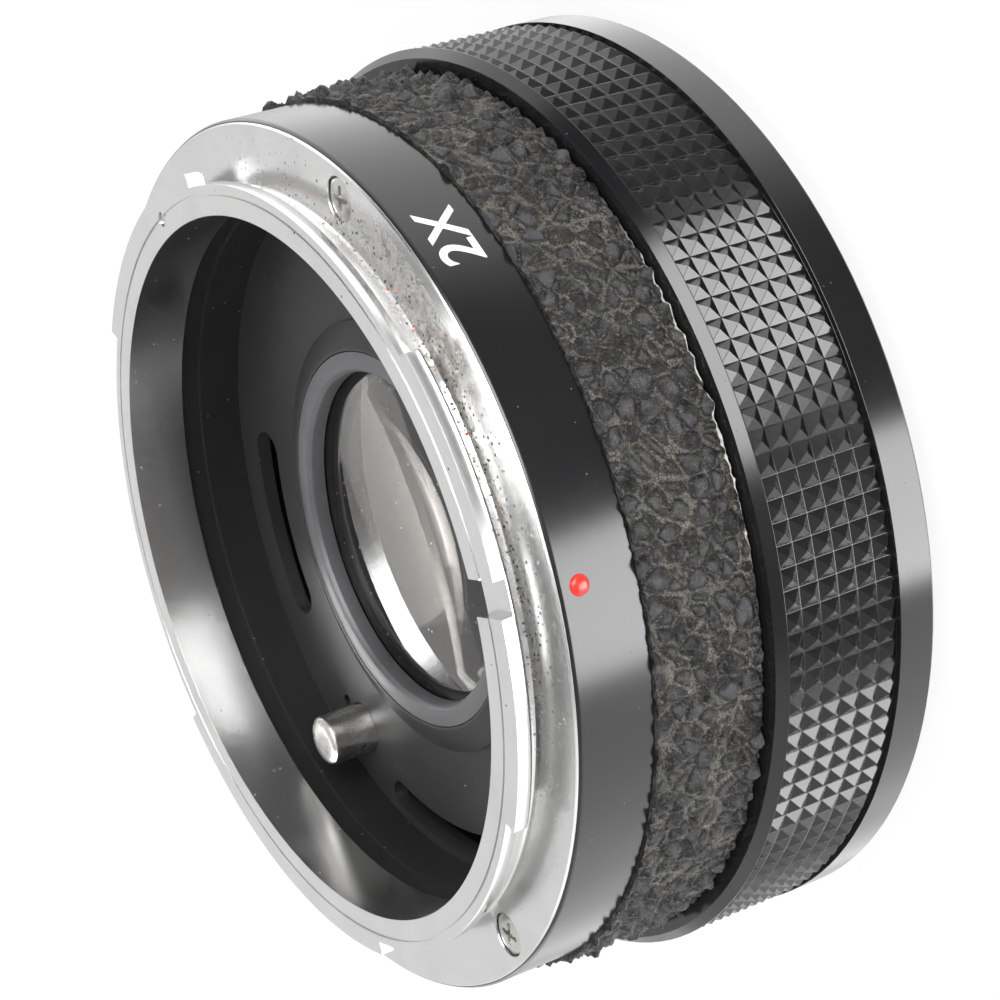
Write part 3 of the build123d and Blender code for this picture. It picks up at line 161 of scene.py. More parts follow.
# Places round the clock, in degrees
LUG_GAPS = ((33.5, 95.0), (142.0, 208.0), (269.0, 326.5))
MOUNT_SCREWS = (60.0, 180.0, 300.0)
MOUNT_SCREW_CIRCLE = 27.5
REAR_SCREWS = (95.0, 145.0, 215.0, 265.0, 335.0)
REAR_SCREW_CIRCLE = 26.6
INNER_LUG_GAPS = ((-38.0, 38.0), (82.0, 158.0), (202.0, 278.0))
STOP_PIN = (LAND_OUTER, 107.8)
POST = (20.4, -132.5)
VENT = (20.4, -139.7)
NARROW_SLOT = (160.0, 200.0)
WIDE_SLOT = (-120.0, -50.0)
FLOOR_SLOTS = ((18.4, 21.4, *NARROW_SLOT), (21.2, 23.2, *WIDE_SLOT))
BAFFLE_SLOTS = ((18.6, 21.3, *NARROW_SLOT), (19.6, 22.2, *WIDE_SLOT))

# Fineness of the turned pieces
STEPS = 256
FINE_STEPS = 1260
COVER_ROWS = 52
SEAM = 0.002 * MM
SHARP = radians(30)
STEEP = radians(40)

# Names that pieces and shaders share
RAYS = ("Is Camera Ray", "Is Glossy Ray", "Is Transmission Ray")
OUTSIDE = "outside"
FURROW = "furrow"

# The photograph's camera: place in metres, turn in degrees
CAMERA_LENS = 105.228
CAMERA_PLACE = (0.033932, -0.173253, 0.106550)
CAMERA_TURN = (-30.003, 57.266, -113.524)

# Lamps: name, place and size in metres, share of the power, and the point that all look at
LAMP_AIM = (0.0, 0.0, 0.015)
LAMPS = (("key", (-0.16, -0.30, 0.36), 0.26, 2.2), ("fill", (0.34, -0.10, 0.22), 0.30, 1.2),
         ("back", (-0.12, 0.36, 0.26), 0.30, 1.0))

# Panels seen in reflections: azimuth, elevation, half width, half height, soft edge, strength
STRONG = ((-109.0, -34.0, 0.29, 0.50, 0.03, 1.0), (-52.0, 40.0, 0.38, 0.52, 0.04, 1.0))
MILD = ((-160.0, -32.0, 0.55, 0.7, 0.2, 1.7), (150.0, -35.0, 0.28, 0.7, 0.1, 1.2),
        (25.0, -30.0, 0.8, 0.8, 0.4, 1.8), (-175.0, 30.0, 0.5, 0.35, 0.2, 0.7),
        (40.0, 18.0, 0.35, 0.25, 0.15, 1.2))
SHADE = ((-52.0, -36.0, 0.62, 0.50, 0.08, 0.55), (0.0, 42.0, 0.32, 0.36, 0.08, 0.93),
         (-122.0, 52.0, 0.30, 0.30, 0.08, 0.5))


# Modelling

def clock(radius, angle, height=0.0):
    """Place in metres of a point given in millimetres and clock degrees."""
    turn = radians(angle)
    return Vector((radius * sin(turn), -radius * cos(turn), height)) * MM


def calm():
    """Leaves edit mode with nothing selected."""
    if bpy.context.object and bpy.context.object.mode != "OBJECT":
        bpy.ops.object.mode_set(mode="OBJECT")
    bpy.ops.object.select_all(action="DESELECT")


def take(piece):
    """Makes one object the only one selected, and active."""
    calm()
    piece.select_set(True)
    bpy.context.view_layer.objects.active = piece


def pick(kind, test):
    """In edit mode, selects only the edges or faces that pass a test."""
    bpy.ops.mesh.select_mode(type={"edges": "EDGE", "faces": "FACE"}[kind])
    bpy.ops.mesh.select_all(action="DESELECT")
    shape = bmesh.from_edit_mesh(bpy.context.object.data)
    for part in getattr(shape, kind):
        if test(part):
            part.select_set(True)
    shape.select_flush_mode()
    bmesh.update_edit_mesh(bpy.context.object.data)


def pick_all():
    """In edit mode, selects everything."""
    bpy.ops.mesh.select_all(action="SELECT")


def tidy_shell():
    """In edit mode, closes seams and poles and turns the faces outwards."""
    pick_all()
    bpy.ops.mesh.remove_doubles(threshold=SEAM)
    bpy.ops.mesh.dissolve_degenerate(threshold=SEAM / 2)
    bpy.ops.mesh.normals_make_consistent(inside=False)


def spun(name, outline, start=0.0, end=360.0, steps=STEPS, place=(0.0, 0.0)):
    """Draws an outline of radius and height and spins it round the axis between clock angles.

    The outline closes on itself, or starts and ends on the axis.
    """
    calm()
    bpy.ops.mesh.primitive_plane_add(size=MM, location=(0, 0, 0))
    piece = bpy.context.object
    piece.name = piece.data.name = name
    bpy.ops.object.mode_set(mode="EDIT")
    bpy.ops.mesh.select_mode(type="VERT")
    pick_all()
    bpy.ops.mesh.merge(type="CENTER")
    points = [clock(radius, start, height) for radius, height in outline]
    bpy.ops.transform.translate(value=points[0])
    if outline[0][0] > 0:
        points.append(points[0])
    for here, there in zip(points, points[1:]):
        bpy.ops.mesh.extrude_vertices_move(TRANSFORM_OT_translate={"value": there - here})
    pick_all()
    bpy.ops.mesh.remove_doubles(threshold=SEAM)
    whole = end - start >= 360.0
    if not whole:
        bpy.ops.mesh.select_mode(type="EDGE")
        pick_all()
        bpy.ops.mesh.edge_face_add()
    pick_all()
    bpy.ops.mesh.spin(steps=steps, angle=radians(end - start), center=(0, 0, 0), axis=(0, 0, -1))
    tidy_shell()
    bpy.ops.object.mode_set(mode="OBJECT")
    if any(place):
        piece.location = clock(*place)
        bpy.ops.object.transform_apply()
    return piece


def modify(piece, kind, **settings):
    """Adds a modifier with its settings and applies it."""
    take(piece)
    made = piece.modifiers.new(kind, kind)
    for name, value in settings.items():
        setattr(made, name, value)
    bpy.ops.object.modifier_apply(modifier=made.name)


def soften(piece, width, segments=2, angle=SHARP):
    """Rounds the sharp edges."""
    modify(piece, "BEVEL", width=width * MM, segments=segments, limit_method="ANGLE", angle_limit=angle)


def combine(piece, *tools, operation="DIFFERENCE"):
    """Cuts tools that don't meet out of a piece, or joins them to it, and removes them."""
    calm()
    for tool in tools:
        tool.select_set(True)
    bpy.context.view_layer.objects.active = tools[0]
    if len(tools) > 1:
        bpy.ops.object.join()
    modify(piece, "BOOLEAN", operation=operation, solver="EXACT", object=tools[0])
    bpy.data.objects.remove(tools[0], do_unlink=True)


def drill(place, radius, low, high, vertices=48, top=None):
    """Round cutter at a place, straight or tapered, between two heights."""
    calm()
    bpy.ops.mesh.primitive_cone_add(
        vertices=vertices, radius1=radius * MM, radius2=(radius if top is None else top) * MM,
        depth=(high - low) * MM, location=clock(*place, (low + high) / 2))
    bpy.ops.object.transform_apply()
    return bpy.context.object


def block(place, size, height, turn=0.0):
    """Box cutter at a place round the clock, its Y side pointing outwards."""
    calm()
    bpy.ops.mesh.primitive_cube_add(size=1, location=clock(*place, height), rotation=(0, 0, radians(turn)))
    bpy.context.object.scale = Vector(size) * MM
    bpy.ops.object.transform_apply()
    return bpy.context.object


def sector(inner, outer, start, end, low, high):
    """Cutter for an arc slot between two radii, clock angles and heights."""
    return spun("slot", [(inner, low - PAST), (outer, low - PAST), (outer, high + PAST),
                         (inner, high + PAST)], start, end, 48)


def round_ends(piece, radius, test):
    """Rounds the upright edges that pass a test."""
    take(piece)
    bpy.ops.object.mode_set(mode="EDIT")

    def upright(edge):
        """Whether a sharp edge runs along the axis and passes the test."""
        along = edge.verts[1].co - edge.verts[0].co
        turned = edge.calc_face_angle(0.0)
        return abs(along.z) > 0.9 * along.length and turned > SHARP and test(edge)

    pick("edges", upright)
    bpy.ops.mesh.bevel(offset=radius * MM, segments=5, affect="EDGES", clamp_overlap=True)
    bpy.ops.object.mode_set(mode="OBJECT")


def copy_to(piece, name, old_place, new_place):
    """Copies a piece with its own mesh to another place round the clock."""
    take(piece)
    bpy.ops.object.duplicate(linked=False)
    twin = bpy.context.object
    twin.name = twin.data.name = name
    twin.location = clock(*new_place) - clock(*old_place)
    bpy.ops.object.transform_apply()
    return twin


def bowl(reach, bulge, at):
    """Height at one radius of a lens face that rises by bulge over its reach."""
    sphere = (reach * reach + bulge * bulge) / (2 * abs(bulge))
    rise = sqrt(sphere * sphere - at * at) - (sphere - abs(bulge))
    return rise if bulge > 0 else -rise


def dress(piece, material, stands_for=None, body="converter", smooth=SHARP, turned=True):
    """Shades a finished piece, gives it its material and rides it on its body.

    On a turned piece the normals follow the large faces, so that flats look flat up to their edges.
    """
    take(piece)
    bpy.ops.object.shade_smooth_by_angle(angle=smooth)
    if turned:
        modify(piece, "WEIGHTED_NORMAL", keep_sharp=True)
    piece.data.materials.clear()
    piece.data.materials.append(material)
    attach(piece, body)
    if stands_for:
        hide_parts(stands_for)


# Shader arithmetic

class Wire:
    """A shader value that takes part in sums; each sum adds its Math node."""

    def __init__(self, paint, socket):
        self.paint = paint
        self.socket = socket

    def maths(self, operation, *others):
        """Adds one Math node that starts from this value."""
        return self.paint.node("ShaderNodeMath", {"operation": operation}, a=self, **dict(zip("bc", others)))

    def __add__(self, other):
        return self.maths("ADD", other)

    __radd__ = __add__

    def __mul__(self, other):
        return self.maths("MULTIPLY", other)

    __rmul__ = __mul__

    def __sub__(self, other):
        return self.maths("SUBTRACT", other)

    def __rsub__(self, other):
        return self.paint.node("ShaderNodeMath", {"operation": "SUBTRACT"}, a=other, b=self)

    def __truediv__(self, other):
        return self.maths("DIVIDE", other)

    def __abs__(self):
        return self.maths("ABSOLUTE")

    def at_most(self, other):
        return self.maths("MINIMUM", other)

    def at_least(self, other):
        return self.maths("MAXIMUM", other)

    def fade(self, low, high):
        """0 below low, 1 above high, smooth between; falls instead where low is above high."""
        if low > high:
            return 1 - self.fade(high, low)
        return self.paint.node(
            "ShaderNodeMapRange", {"interpolation_type": "SMOOTHSTEP"},
            Value=self, From_Min=low, From_Max=high, To_Min=0.0, To_Max=1.0)


class Paint:
    """Nodes of one material or world, made by one method."""

    letters = {"a": 0, "b": 1, "c": 2}

    def __init__(self, tree, material=None):
        self.tree = tree
        self.material = material
        tree.nodes.clear()

    def node(self, kind, settings=None, out=0, **values):
        """Adds a node with its settings and then its sockets, named, lettered, or numbered as i6."""
        made = self.tree.nodes.new(kind)
        for name, value in (settings or {}).items():
            setattr(made, name, value)
        for name, value in values.items():
            key = self.letters.get(name, int(name[1:]) if name[1:].isdigit() else name.replace("_", " "))
            socket = made.inputs[key]
            if isinstance(value, Wire):
                self.tree.links.new(value.socket, socket)
            else:
                socket.default_value = value
        return Wire(self, made.outputs[out]) if made.outputs else None

    def place(self):
        """Height and radius in millimetres and clock angle in degrees, from Object coordinates."""
        spot = self.node("ShaderNodeTexCoord", out="Object")
        x, y, z = (self.node("ShaderNodeSeparateXYZ", out=axis, Vector=spot) * (1 / MM) for axis in "XYZ")
        radius = (x * x + y * y).maths("SQRT")
        angle = x.maths("ARCTAN2", y * -1.0) * degrees(1)
        return z, radius, angle

    def noise(self, size, detail=3.0, roughness=0.55, vector=None):
        """Cloudy noise with features about size millimetres across."""
        spot = vector or self.node("ShaderNodeTexCoord", out="Object")
        return self.node("ShaderNodeTexNoise", Vector=spot, Scale=1.0 / (size * MM),
                         Detail=detail, Roughness=roughness)

    def rings(self, size, z, radius):
        """Noise that only changes along the turned outline, as tool marks do."""
        spot = self.node("ShaderNodeCombineXYZ", X=radius * MM, Y=0.0, Z=z * MM)
        return self.noise(size, 4.0, 0.7, spot)

    def specks(self, size, radius_share, keep):
        """Crisp dots, about one in each cell of size millimetres, of which a share is kept."""
        spot = self.node("ShaderNodeTexCoord", out="Object")
        cells, shade = (
            self.node("ShaderNodeTexVoronoi", out=out, Vector=spot, Scale=1.0 / (size * MM), Randomness=1.0)
            for out in ("Distance", "Color"))
        chance = self.node("ShaderNodeSeparateColor", Color=shade)
        reach = radius_share * (0.35 + chance * 0.65)
        return (cells - reach).fade(0.03, -0.02) * chance.fade(1.0 - keep, 1.0 - keep + 0.02)

    def mix(self, share, first, second):
        """Colour between two, each given as a wire or as three numbers."""
        return self.node("ShaderNodeMix", {"data_type": "RGBA"}, out=2, a=share,
                         i6=first if isinstance(first, Wire) else (*first, 1.0),
                         i7=second if isinstance(second, Wire) else (*second, 1.0))

    def bump(self, height, distance):
        """Relief with a depth in millimetres."""
        return self.node("ShaderNodeBump", Height=height, Distance=distance * MM, Strength=1.0)

    def surface(self, **values):
        """Ends the material with its shader and gives it back."""
        shader = self.node("ShaderNodeBsdfPrincipled", **values)
        self.node("ShaderNodeOutputMaterial", Surface=shader)
        return self.material


def new_paint(name):
    """Paint for a new material."""
    material = bpy.data.materials.new(name)
    material.use_nodes = True
    return Paint(material.node_tree, material)


# Finishes

def shaded(colour, share):
    """The colour made darker or lighter."""
    return [part * share for part in colour]


def chrome_plate(colour, name="chrome_plate", grit=1.0):
    """Satin plated metal with turning marks, black specks, red lint, and grit with painted shade in the foot
    of the neck.
    """
    paint = new_paint(name)
    z, radius, angle = paint.place()
    marks = paint.rings(0.10, z, radius)
    cloud = paint.noise(4.0)
    near = angle.fade(-40.0, -12.0) * angle.fade(100.0, 60.0)
    # the arc round the clock where the grit and the painted shade lie in the foot of the neck
    grit_and_shade_arc = angle.fade(-22.0, -6.0) * angle.fade(70.0, 35.0)
    flange = z.fade(Z_FLANGE + 0.5, Z_FLANGE) * z.fade(Z_SEAT, Z_SEAT + 0.2)
    deep = angle.fade(18.0, 36.0)
    foot = (radius - deep * 2.4).fade(26.5, 25.4) * z.fade(Z_FLANGE + 1.0, Z_FLANGE + 0.1)
    foot = foot * radius.fade(THROAT + 0.1, THROAT + 0.3)
    specks = paint.specks(0.34, 0.34, 0.30) * near * flange * radius.fade(28.9, 27.2)
    few = paint.specks(0.8, 0.12, 0.20) * (0.25 + 0.75 * near)
    black = specks.at_least(few)
    grit_spots = paint.specks(0.26, 0.42, 0.55) * foot * grit_and_shade_arc
    # painted shade: a dark brown blotch in the foot of the neck, darkest under the lugs, partly real dirt and
    # partly the shade that falls there
    blotch = foot * grit_and_shade_arc * paint.noise(1.1, 4.0, 0.65).fade(0.34, 0.62) * (0.55 + deep * 0.35)
    lint = paint.specks(0.55, 0.20, 0.16) * near * foot
    tone = paint.mix(cloud.fade(0.35, 0.75), colour, shaded(colour, 0.93))
    grains = paint.mix(paint.noise(0.3, 1.0).fade(0.45, 0.55), (0.30, 0.24, 0.15), (0.03, 0.025, 0.02))
    # the blotch's dark brown is painted shade and dirt together; grit scales the dirt and the painted shade
    # alike
    base = paint.mix((blotch * 0.85 * grit).at_most(1.0), tone, (0.055, 0.040, 0.030))
    base = paint.mix(grit_spots * grit, base, grains)
    base = paint.mix((black * grit).at_most(1.0), base, (0.02, 0.018, 0.016))
    base = paint.mix(lint * grit, base, (0.45, 0.05, 0.04))
    grains_up = black.at_least(grit_spots).at_least(lint)
    # the painted shade's blotch also turns the metal dull and rough, as the dirt does
    dirt_and_shade = (blotch * 0.8).at_least(grains_up).at_most(1.0) * grit
    rough = 0.16 + marks * 0.06 + cloud * 0.05 + dirt_and_shade * 0.45
    relief = paint.bump(marks * 0.25 + grains_up * grit, 0.010)
    return paint.surface(Base_Color=base, Metallic=1.0 - dirt_and_shade, Roughness=rough, Normal=relief)


def black_gloss(colour, name, marks_size=0.16, roughness=0.12):
    """Glossy black anodising with faint turning marks and dust."""
    paint = new_paint(name)
    z, radius, _ = paint.place()
    marks = paint.rings(marks_size, z, radius)
    cloud = paint.noise(4.0, 4.0)
    dust = paint.specks(0.60, 0.07, 0.25) * paint.noise(6.0).fade(0.42, 0.62)
    base = paint.mix(cloud, colour, shaded(colour, 1.7))
    base = paint.mix(dust, base, (0.16, 0.15, 0.13))
    rough = roughness + marks * 0.07 + cloud * 0.07 + dust * 0.5
    relief = paint.bump(marks * 0.5 + dust, 0.006)
    return paint.surface(Base_Color=base, Roughness=rough, Normal=relief, Specular_IOR_Level=0.32)


def black_matt(colour, name="black_matt", roughness=0.34, gloss=0.28):
    """Satin black anodising inside, turned, with a little dust."""
    paint = new_paint(name)
    z, radius, _ = paint.place()
    marks = paint.rings(0.2, z, radius)
    cloud = paint.noise(2.5, 4.0)
    dust = paint.specks(0.8, 0.08, 0.25)
    base = paint.mix(cloud, colour, shaded(colour, 1.8))
    base = paint.mix(dust * 0.7, base, (0.20, 0.18, 0.15))
    rough = roughness + marks * 0.10 + cloud * 0.10 + dust * 0.4
    relief = paint.bump(marks + cloud * 0.5 + dust, 0.010)
    return paint.surface(Base_Color=base, Roughness=rough, Normal=relief, Specular_IOR_Level=gloss)


def turned_steel(colour, name, roughness):
    """Plain steel with fine marks and a little tarnish."""
    paint = new_paint(name)
    marks = paint.noise(0.15, 5.0, 0.7)
    cloud = paint.noise(1.2, 4.0)
    base = paint.mix(cloud.fade(0.4, 0.75), colour, shaded(colour, 0.6))
    rough = roughness + marks * 0.12 + cloud * 0.1
    return paint.surface(Base_Color=base, Metallic=1.0, Roughness=rough, Normal=paint.bump(marks, 0.006))


def pebbled_cover(colour):
    """Worn grip covering: dark pebbles whose peaks carry wear and a painted highlight, lint and tan grit in
    the furrows, torn white backing at the rear.
    """
    paint = new_paint("pebbled_cover")
    z, _, angle = paint.place()
    grain = paint.noise(0.13, 4.0, 0.7)
    fleck = paint.noise(0.20, 2.0, 0.6)
    cloud = paint.noise(3.0)
    furrow = paint.node(
        "ShaderNodeAttribute", {"attribute_type": "GEOMETRY", "attribute_name": FURROW}, out="Fac")
    web = (furrow + (grain - 0.5) * 0.6).fade(0.62, 0.92)
    wrinkle = abs(paint.noise(0.75, 3.0, 0.6) - 0.5).fade(0.032, 0.008)
    shade = paint.mix(grain.fade(0.35, 0.70), shaded(colour, 0.5), shaded(colour, 1.5))
    # painted highlight: the peaks are painted lighter than the furrows, partly wear and partly the light that
    # the peaks catch
    peak_wear_and_sheen = paint.noise(1.3, 2.0).fade(0.42, 0.60) * (furrow + (grain - 0.5) * 0.5).fade(0.50, 0.15)
    shade = paint.mix(peak_wear_and_sheen * 0.8, shade, (0.070, 0.071, 0.075))
    lint = (web * (0.15 + cloud)).at_least(wrinkle * 0.4) * grain.fade(0.32, 0.60)
    shade = paint.mix(lint.at_most(0.9), shade, (0.230, 0.217, 0.198))
    tan = fleck.fade(0.63, 0.68) * cloud.fade(0.35, 0.60) * (0.35 + web * 0.6)
    shade = paint.mix(tan, shade, (0.30, 0.22, 0.13))
    torn = (z + paint.noise(0.9) * 0.35 + paint.noise(6.0, 2.0) * 0.5).fade(
        Z_BAND_REAR + 0.50, Z_BAND_REAR + 0.46)
    torn = torn * angle.fade(-6.0, 2.0) * angle.fade(42.0, 30.0)
    base = paint.mix(torn, shade, (0.60, 0.58, 0.55))
    rough = 0.32 + grain * 0.2 + lint * 0.4
    relief = paint.bump(grain * 0.6 + fleck * 0.7 + wrinkle * 0.6, 0.14)
    return paint.surface(Base_Color=base, Roughness=rough, Normal=relief, Specular_IOR_Level=0.16)


def red_enamel(colour):
    """Red enamel, a little dulled in places."""
    paint = new_paint("red_enamel")
    cloud = paint.noise(0.5, 4.0)
    base = paint.mix(cloud.fade(0.3, 0.8), colour, shaded(colour, 0.65))
    return paint.surface(Base_Color=base, Roughness=0.22 + cloud * 0.2, Normal=paint.bump(cloud, 0.01))


def white_paint(colour):
    """White marking paint, a little greyed in places."""
    paint = new_paint("white_paint")
    cloud = paint.noise(0.4, 4.0)
    base = paint.mix(cloud.fade(0.35, 0.85), colour, shaded(colour, 0.82))
    return paint.surface(Base_Color=base, Roughness=0.45 + cloud * 0.2, Normal=paint.bump(cloud, 0.004))


def coated_glass(colour):
    """Clear glass with a brownish coating, darkened to paint the shade seen through it, with smears and dust.
    """
    paint = new_paint("coated_glass")
    blotch = paint.noise(3.0, 5.0, 0.65).fade(0.5, 0.8)
    dust = paint.specks(0.9, 0.10, 0.3)
    base = paint.mix(blotch * 0.3, colour, shaded(colour, 0.92))
    base = paint.mix(dust, base, (0.5, 0.48, 0.45))
    rough = blotch * 0.03 + dust * 0.4
    return paint.surface(Base_Color=base, Roughness=rough, Transmission_Weight=1.0, IOR=1.52,
                         Specular_IOR_Level=0.06, Normal=paint.bump(blotch, 0.001))


# Values that a user would change

def length(name, description, default):
    """Property for a length, its default given in millimetres."""
    return bpy.props.FloatProperty(name=name, description=description, default=default * MM, unit="LENGTH")


def tint(name, description, default):
    """Property for the colour of one finish."""
    return bpy.props.FloatVectorProperty(
        name=name, description=description, default=default, subtype="COLOR")


class ConverterSizes(bpy.types.PropertyGroup):
    knurl_depth: length("Knurl depth", "Height of the pyramids on the breech ring", 0.45)
    knurl_columns: bpy.props.IntProperty(
        name="Knurl columns", description="Pyramids round the breech ring", default=138)
    knurl_rows: bpy.props.IntProperty(
        name="Knurl rows", description="Rows of pyramids along the breech ring", default=6)
    pebble_pitch: length("Pebble pitch", "Distance between the covering's peaks", 1.4)
    pebble_depth: length("Pebble depth", "Depth between the covering's peaks", 0.26)
    edge_round: length("Edge rounding", "Rounding of the turned edges", 0.06)
    mark_height: length("Mark height", "Height of the figure on the name band", 3.0)


class ConverterColours(bpy.types.PropertyGroup):
    chrome: tint("Chrome", "Plated mounts", (0.62, 0.62, 0.615))
    gloss: tint("Gloss black", "Breech ring and name band", (0.006, 0.006, 0.0065))
    matt: tint("Satin black", "Barrel and inner pieces", (0.009, 0.009, 0.0092))
    steel: tint("Steel", "Post, screws, levers and springs", (0.52, 0.51, 0.49))
    cover: tint("Covering", "Grip covering", (0.006, 0.006, 0.0063))
    bead: tint("Bead", "Index bead", (0.80, 0.025, 0.015))
    mark: tint("Mark", "Figure on the name band", (0.86, 0.87, 0.85))
    # painted shade: the glass tint is darker than a real coating, to stand in for the shaded table seen
    # through the glass
    glass: tint("Glass", "Tint of the coated glass", (0.46, 0.44, 0.418))
    grey: tint("Grey ring", "Retaining ring round the glass", (0.05, 0.05, 0.052))


class ConverterLight(bpy.types.PropertyGroup):
    daylight: bpy.props.FloatProperty(
        name="Room light", description="Level of the even light all round", default=0.75, subtype="FACTOR")
    softbox: bpy.props.FloatProperty(
        name="Softbox", description="Brightness of the softboxes in reflections", default=16.0)
    key: bpy.props.FloatProperty(
        name="Key lamp", description="Power of the large soft lamp", default=0.9, unit="POWER")


# Operators

class PieceOperator(bpy.types.Operator):
    """Shared by the operators that model a piece"""

    bl_options = {"REGISTER", "UNDO"}

    def execute(self, context):
        self.sizes = context.scene.converter_sizes
        self.colours = context.scene.converter_colours
        self.light = context.scene.converter_light
        self.build()
        return {"FINISHED"}


class CONVERTER_OT_lens_mount(PieceOperator):
    """Chromed lens-side ring with three lugs, groove, notch and screw sinks"""

    bl_idname = "converter.lens_mount"
    bl_label = "Lens-side mount"

    def build(self):
        ring = spun("bayonet_ring", [
            (THROAT, Z_THROAT_END), (THROAT, Z_FRONT), (LAND_OUTER, Z_FRONT),
            (LAND_OUTER, Z_GROOVE), (GROOVE_OUTER, Z_GROOVE), (GROOVE_OUTER, Z_FRONT), (LUG, Z_FRONT),
            (LUG, Z_LUG_LOW + 0.3), (LUG - 0.3, Z_LUG_LOW), (NECK, Z_LUG_LOW), (NECK, Z_FLANGE + 0.35),
            (NECK + 0.1, Z_FLANGE + 0.1), (NECK + 0.35, Z_FLANGE),
            (FLANGE - FLANGE_EDGE, Z_FLANGE), (FLANGE, Z_FLANGE - FLANGE_EDGE), (FLANGE, Z_SEAT),
            (SPIGOT_SEAT, Z_SEAT), (SPIGOT_SEAT, Z_SPIGOT_SEAT), (SLEEVE, Z_SPIGOT_SEAT),
            (SLEEVE, Z_THROAT_END)], 0.3, 360.3, 360)
        combine(ring, *[spun("waste", [
            (RIM, Z_FRONT + PAST), (LUG + 0.6, Z_FRONT + PAST), (LUG + 0.6, Z_LUG_LOW - 0.2),
            (NECK - 0.03, Z_LUG_LOW - 0.2), (NECK - 0.03, Z_LUG_LOW + 0.02), (RIM, Z_RIM_LOW)],
            start, end, steps=61) for start, end in LUG_GAPS])

        def on_lug(edge):
            """Whether an edge stands on the lugs' outside."""
            return all(hypot(*vert.co.xy) > (LUG - 0.4) * MM for vert in edge.verts)

        round_ends(ring, 0.6, on_lug)
        combine(ring, block(((THROAT + LUG) / 2, 0.0), NOTCH, Z_FRONT))
        soften(ring, self.sizes.edge_round / MM, 2, STEEP)
        combine(ring, drill(STOP_PIN, STOP_PIN_HOLE, Z_FRONT - 0.5, Z_FRONT + 0.3, 32), *[
            drill((MOUNT_SCREW_CIRCLE, angle), SCREW_SINK, Z_FLANGE - 0.75, Z_FLANGE + 0.3, 48, 1.5)
            for angle in MOUNT_SCREWS])
        dress(ring, chrome_plate(self.colours.chrome), "lens_mount_ring")


class CONVERTER_OT_screws(PieceOperator):
    """Cross-head screws of both mounts"""

    bl_idname = "converter.screws"
    bl_label = "Screws"

    def head(self, name, place, top, facing):
        """One countersunk head, facing up for 1 and down for -1."""
        screw = spun(name, [
            (0.0, top - 0.9 * facing), (SCREW_SHANK, top - 0.9 * facing), (SCREW_SHANK, top - 0.62 * facing),
            (SCREW_HEAD, top - 0.12 * facing), (SCREW_HEAD, top), (1.1, top + 0.07 * facing),
            (0.0, top + 0.10 * facing)], steps=48, place=place)
        for turn in (12.0, 102.0):
            combine(screw, block(place, SCREW_CROSS, top + 0.15 * facing, place[1] + turn))
        soften(screw, 0.03, 2, STEEP)
        return screw

    def build(self):
        steel = turned_steel(self.colours.steel, "screw_steel", 0.2)
        for group, angles, circle, top, facing, node in (
                ("mount_screw", MOUNT_SCREWS, MOUNT_SCREW_CIRCLE,
                 Z_FLANGE - SCREW_RECESS, 1.0, "lens_mount_screws"),
                ("rear_screw", REAR_SCREWS, REAR_SCREW_CIRCLE,
                 Z_PLATE_FACE + SCREW_RECESS, -1.0, "rear_mount_screws")):
            first = self.head(group + "_1", (circle, angles[0]), top, facing)
            for number, angle in enumerate(angles[1:], 2):
                twin = copy_to(first, "%s_%d" % (group, number), (circle, angles[0]), (circle, angle))
                dress(twin, steel)
            dress(first, steel, node)


class CONVERTER_OT_name_band(PieceOperator):
    """Gloss black band behind the mount, with its red bead and a plain figure"""

    bl_idname = "converter.name_band"
    bl_label = "Name band and bead"

    def build(self):
        band = spun("name_band", [
            (NAME_SEAT, Z_SEAT), (FLANGE + 0.01, Z_SEAT), (FLANGE + 0.01, Z_FLANGE - 0.14),
            (FLANGE + 0.05, Z_FLANGE - 0.14), (NAME, Z_SEAT - 0.05),
            (NAME, Z_NAME_REAR), (NAME_SEAT, Z_NAME_REAR)])
        soften(band, 0.03)
        dress(band, black_gloss(self.colours.gloss, "band_black"), "name_ring")
        bead = spun("index_dot", [(0.0, 0.0), (0.68, 0.0), (0.68, 0.32), (0.60, 0.50), (0.42, 0.62),
                                  (0.2, 0.68), (0.0, 0.69)], steps=40)
        bead.rotation_euler = (radians(90), 0, 0)
        bead.location = clock(NAME - 0.35, 0.0, Z_SEAT - 1.19)
        bpy.ops.object.transform_apply()
        soften(bead, 0.04)
        dress(bead, red_enamel(self.colours.bead), "index_bead")
        self.figure(band)

    def figure(self, band):
        """The plain magnification laid on the band."""
        calm()
        bpy.ops.object.text_add(location=(0, 0, 0))
        text = bpy.context.object
        text.name = text.data.name = "magnification_mark"
        text.data.body = "2X"
        text.data.size = self.sizes.mark_height * 1.3
        text.data.align_x = "CENTER"
        text.data.align_y = "CENTER"
        text.data.offset = 0.05 * MM
        bpy.ops.object.convert(target="MESH")
        bpy.ops.object.mode_set(mode="EDIT")
        pick_all()
        bpy.ops.mesh.remove_doubles(threshold=SEAM)
        for strip in range(-6, 7):
            pick_all()
            bpy.ops.mesh.bisect(plane_co=(strip * FIGURE_STRIP * MM, 0, 0), plane_no=(1, 0, 0))
        bpy.ops.object.mode_set(mode="OBJECT")
        text.rotation_euler = (radians(90), 0, radians(FIGURE_ANGLE))
        text.location = clock(NAME + 0.5, FIGURE_ANGLE, (Z_SEAT + Z_NAME_REAR) / 2)
        bpy.ops.object.transform_apply()
        modify(text, "SHRINKWRAP", target=band, wrap_method="NEAREST_SURFACEPOINT",
               wrap_mode="ABOVE_SURFACE", offset=0.015 * MM)
        modify(text, "SOLIDIFY", thickness=0.02 * MM, offset=0.0)
        dress(text, white_paint(self.colours.mark))


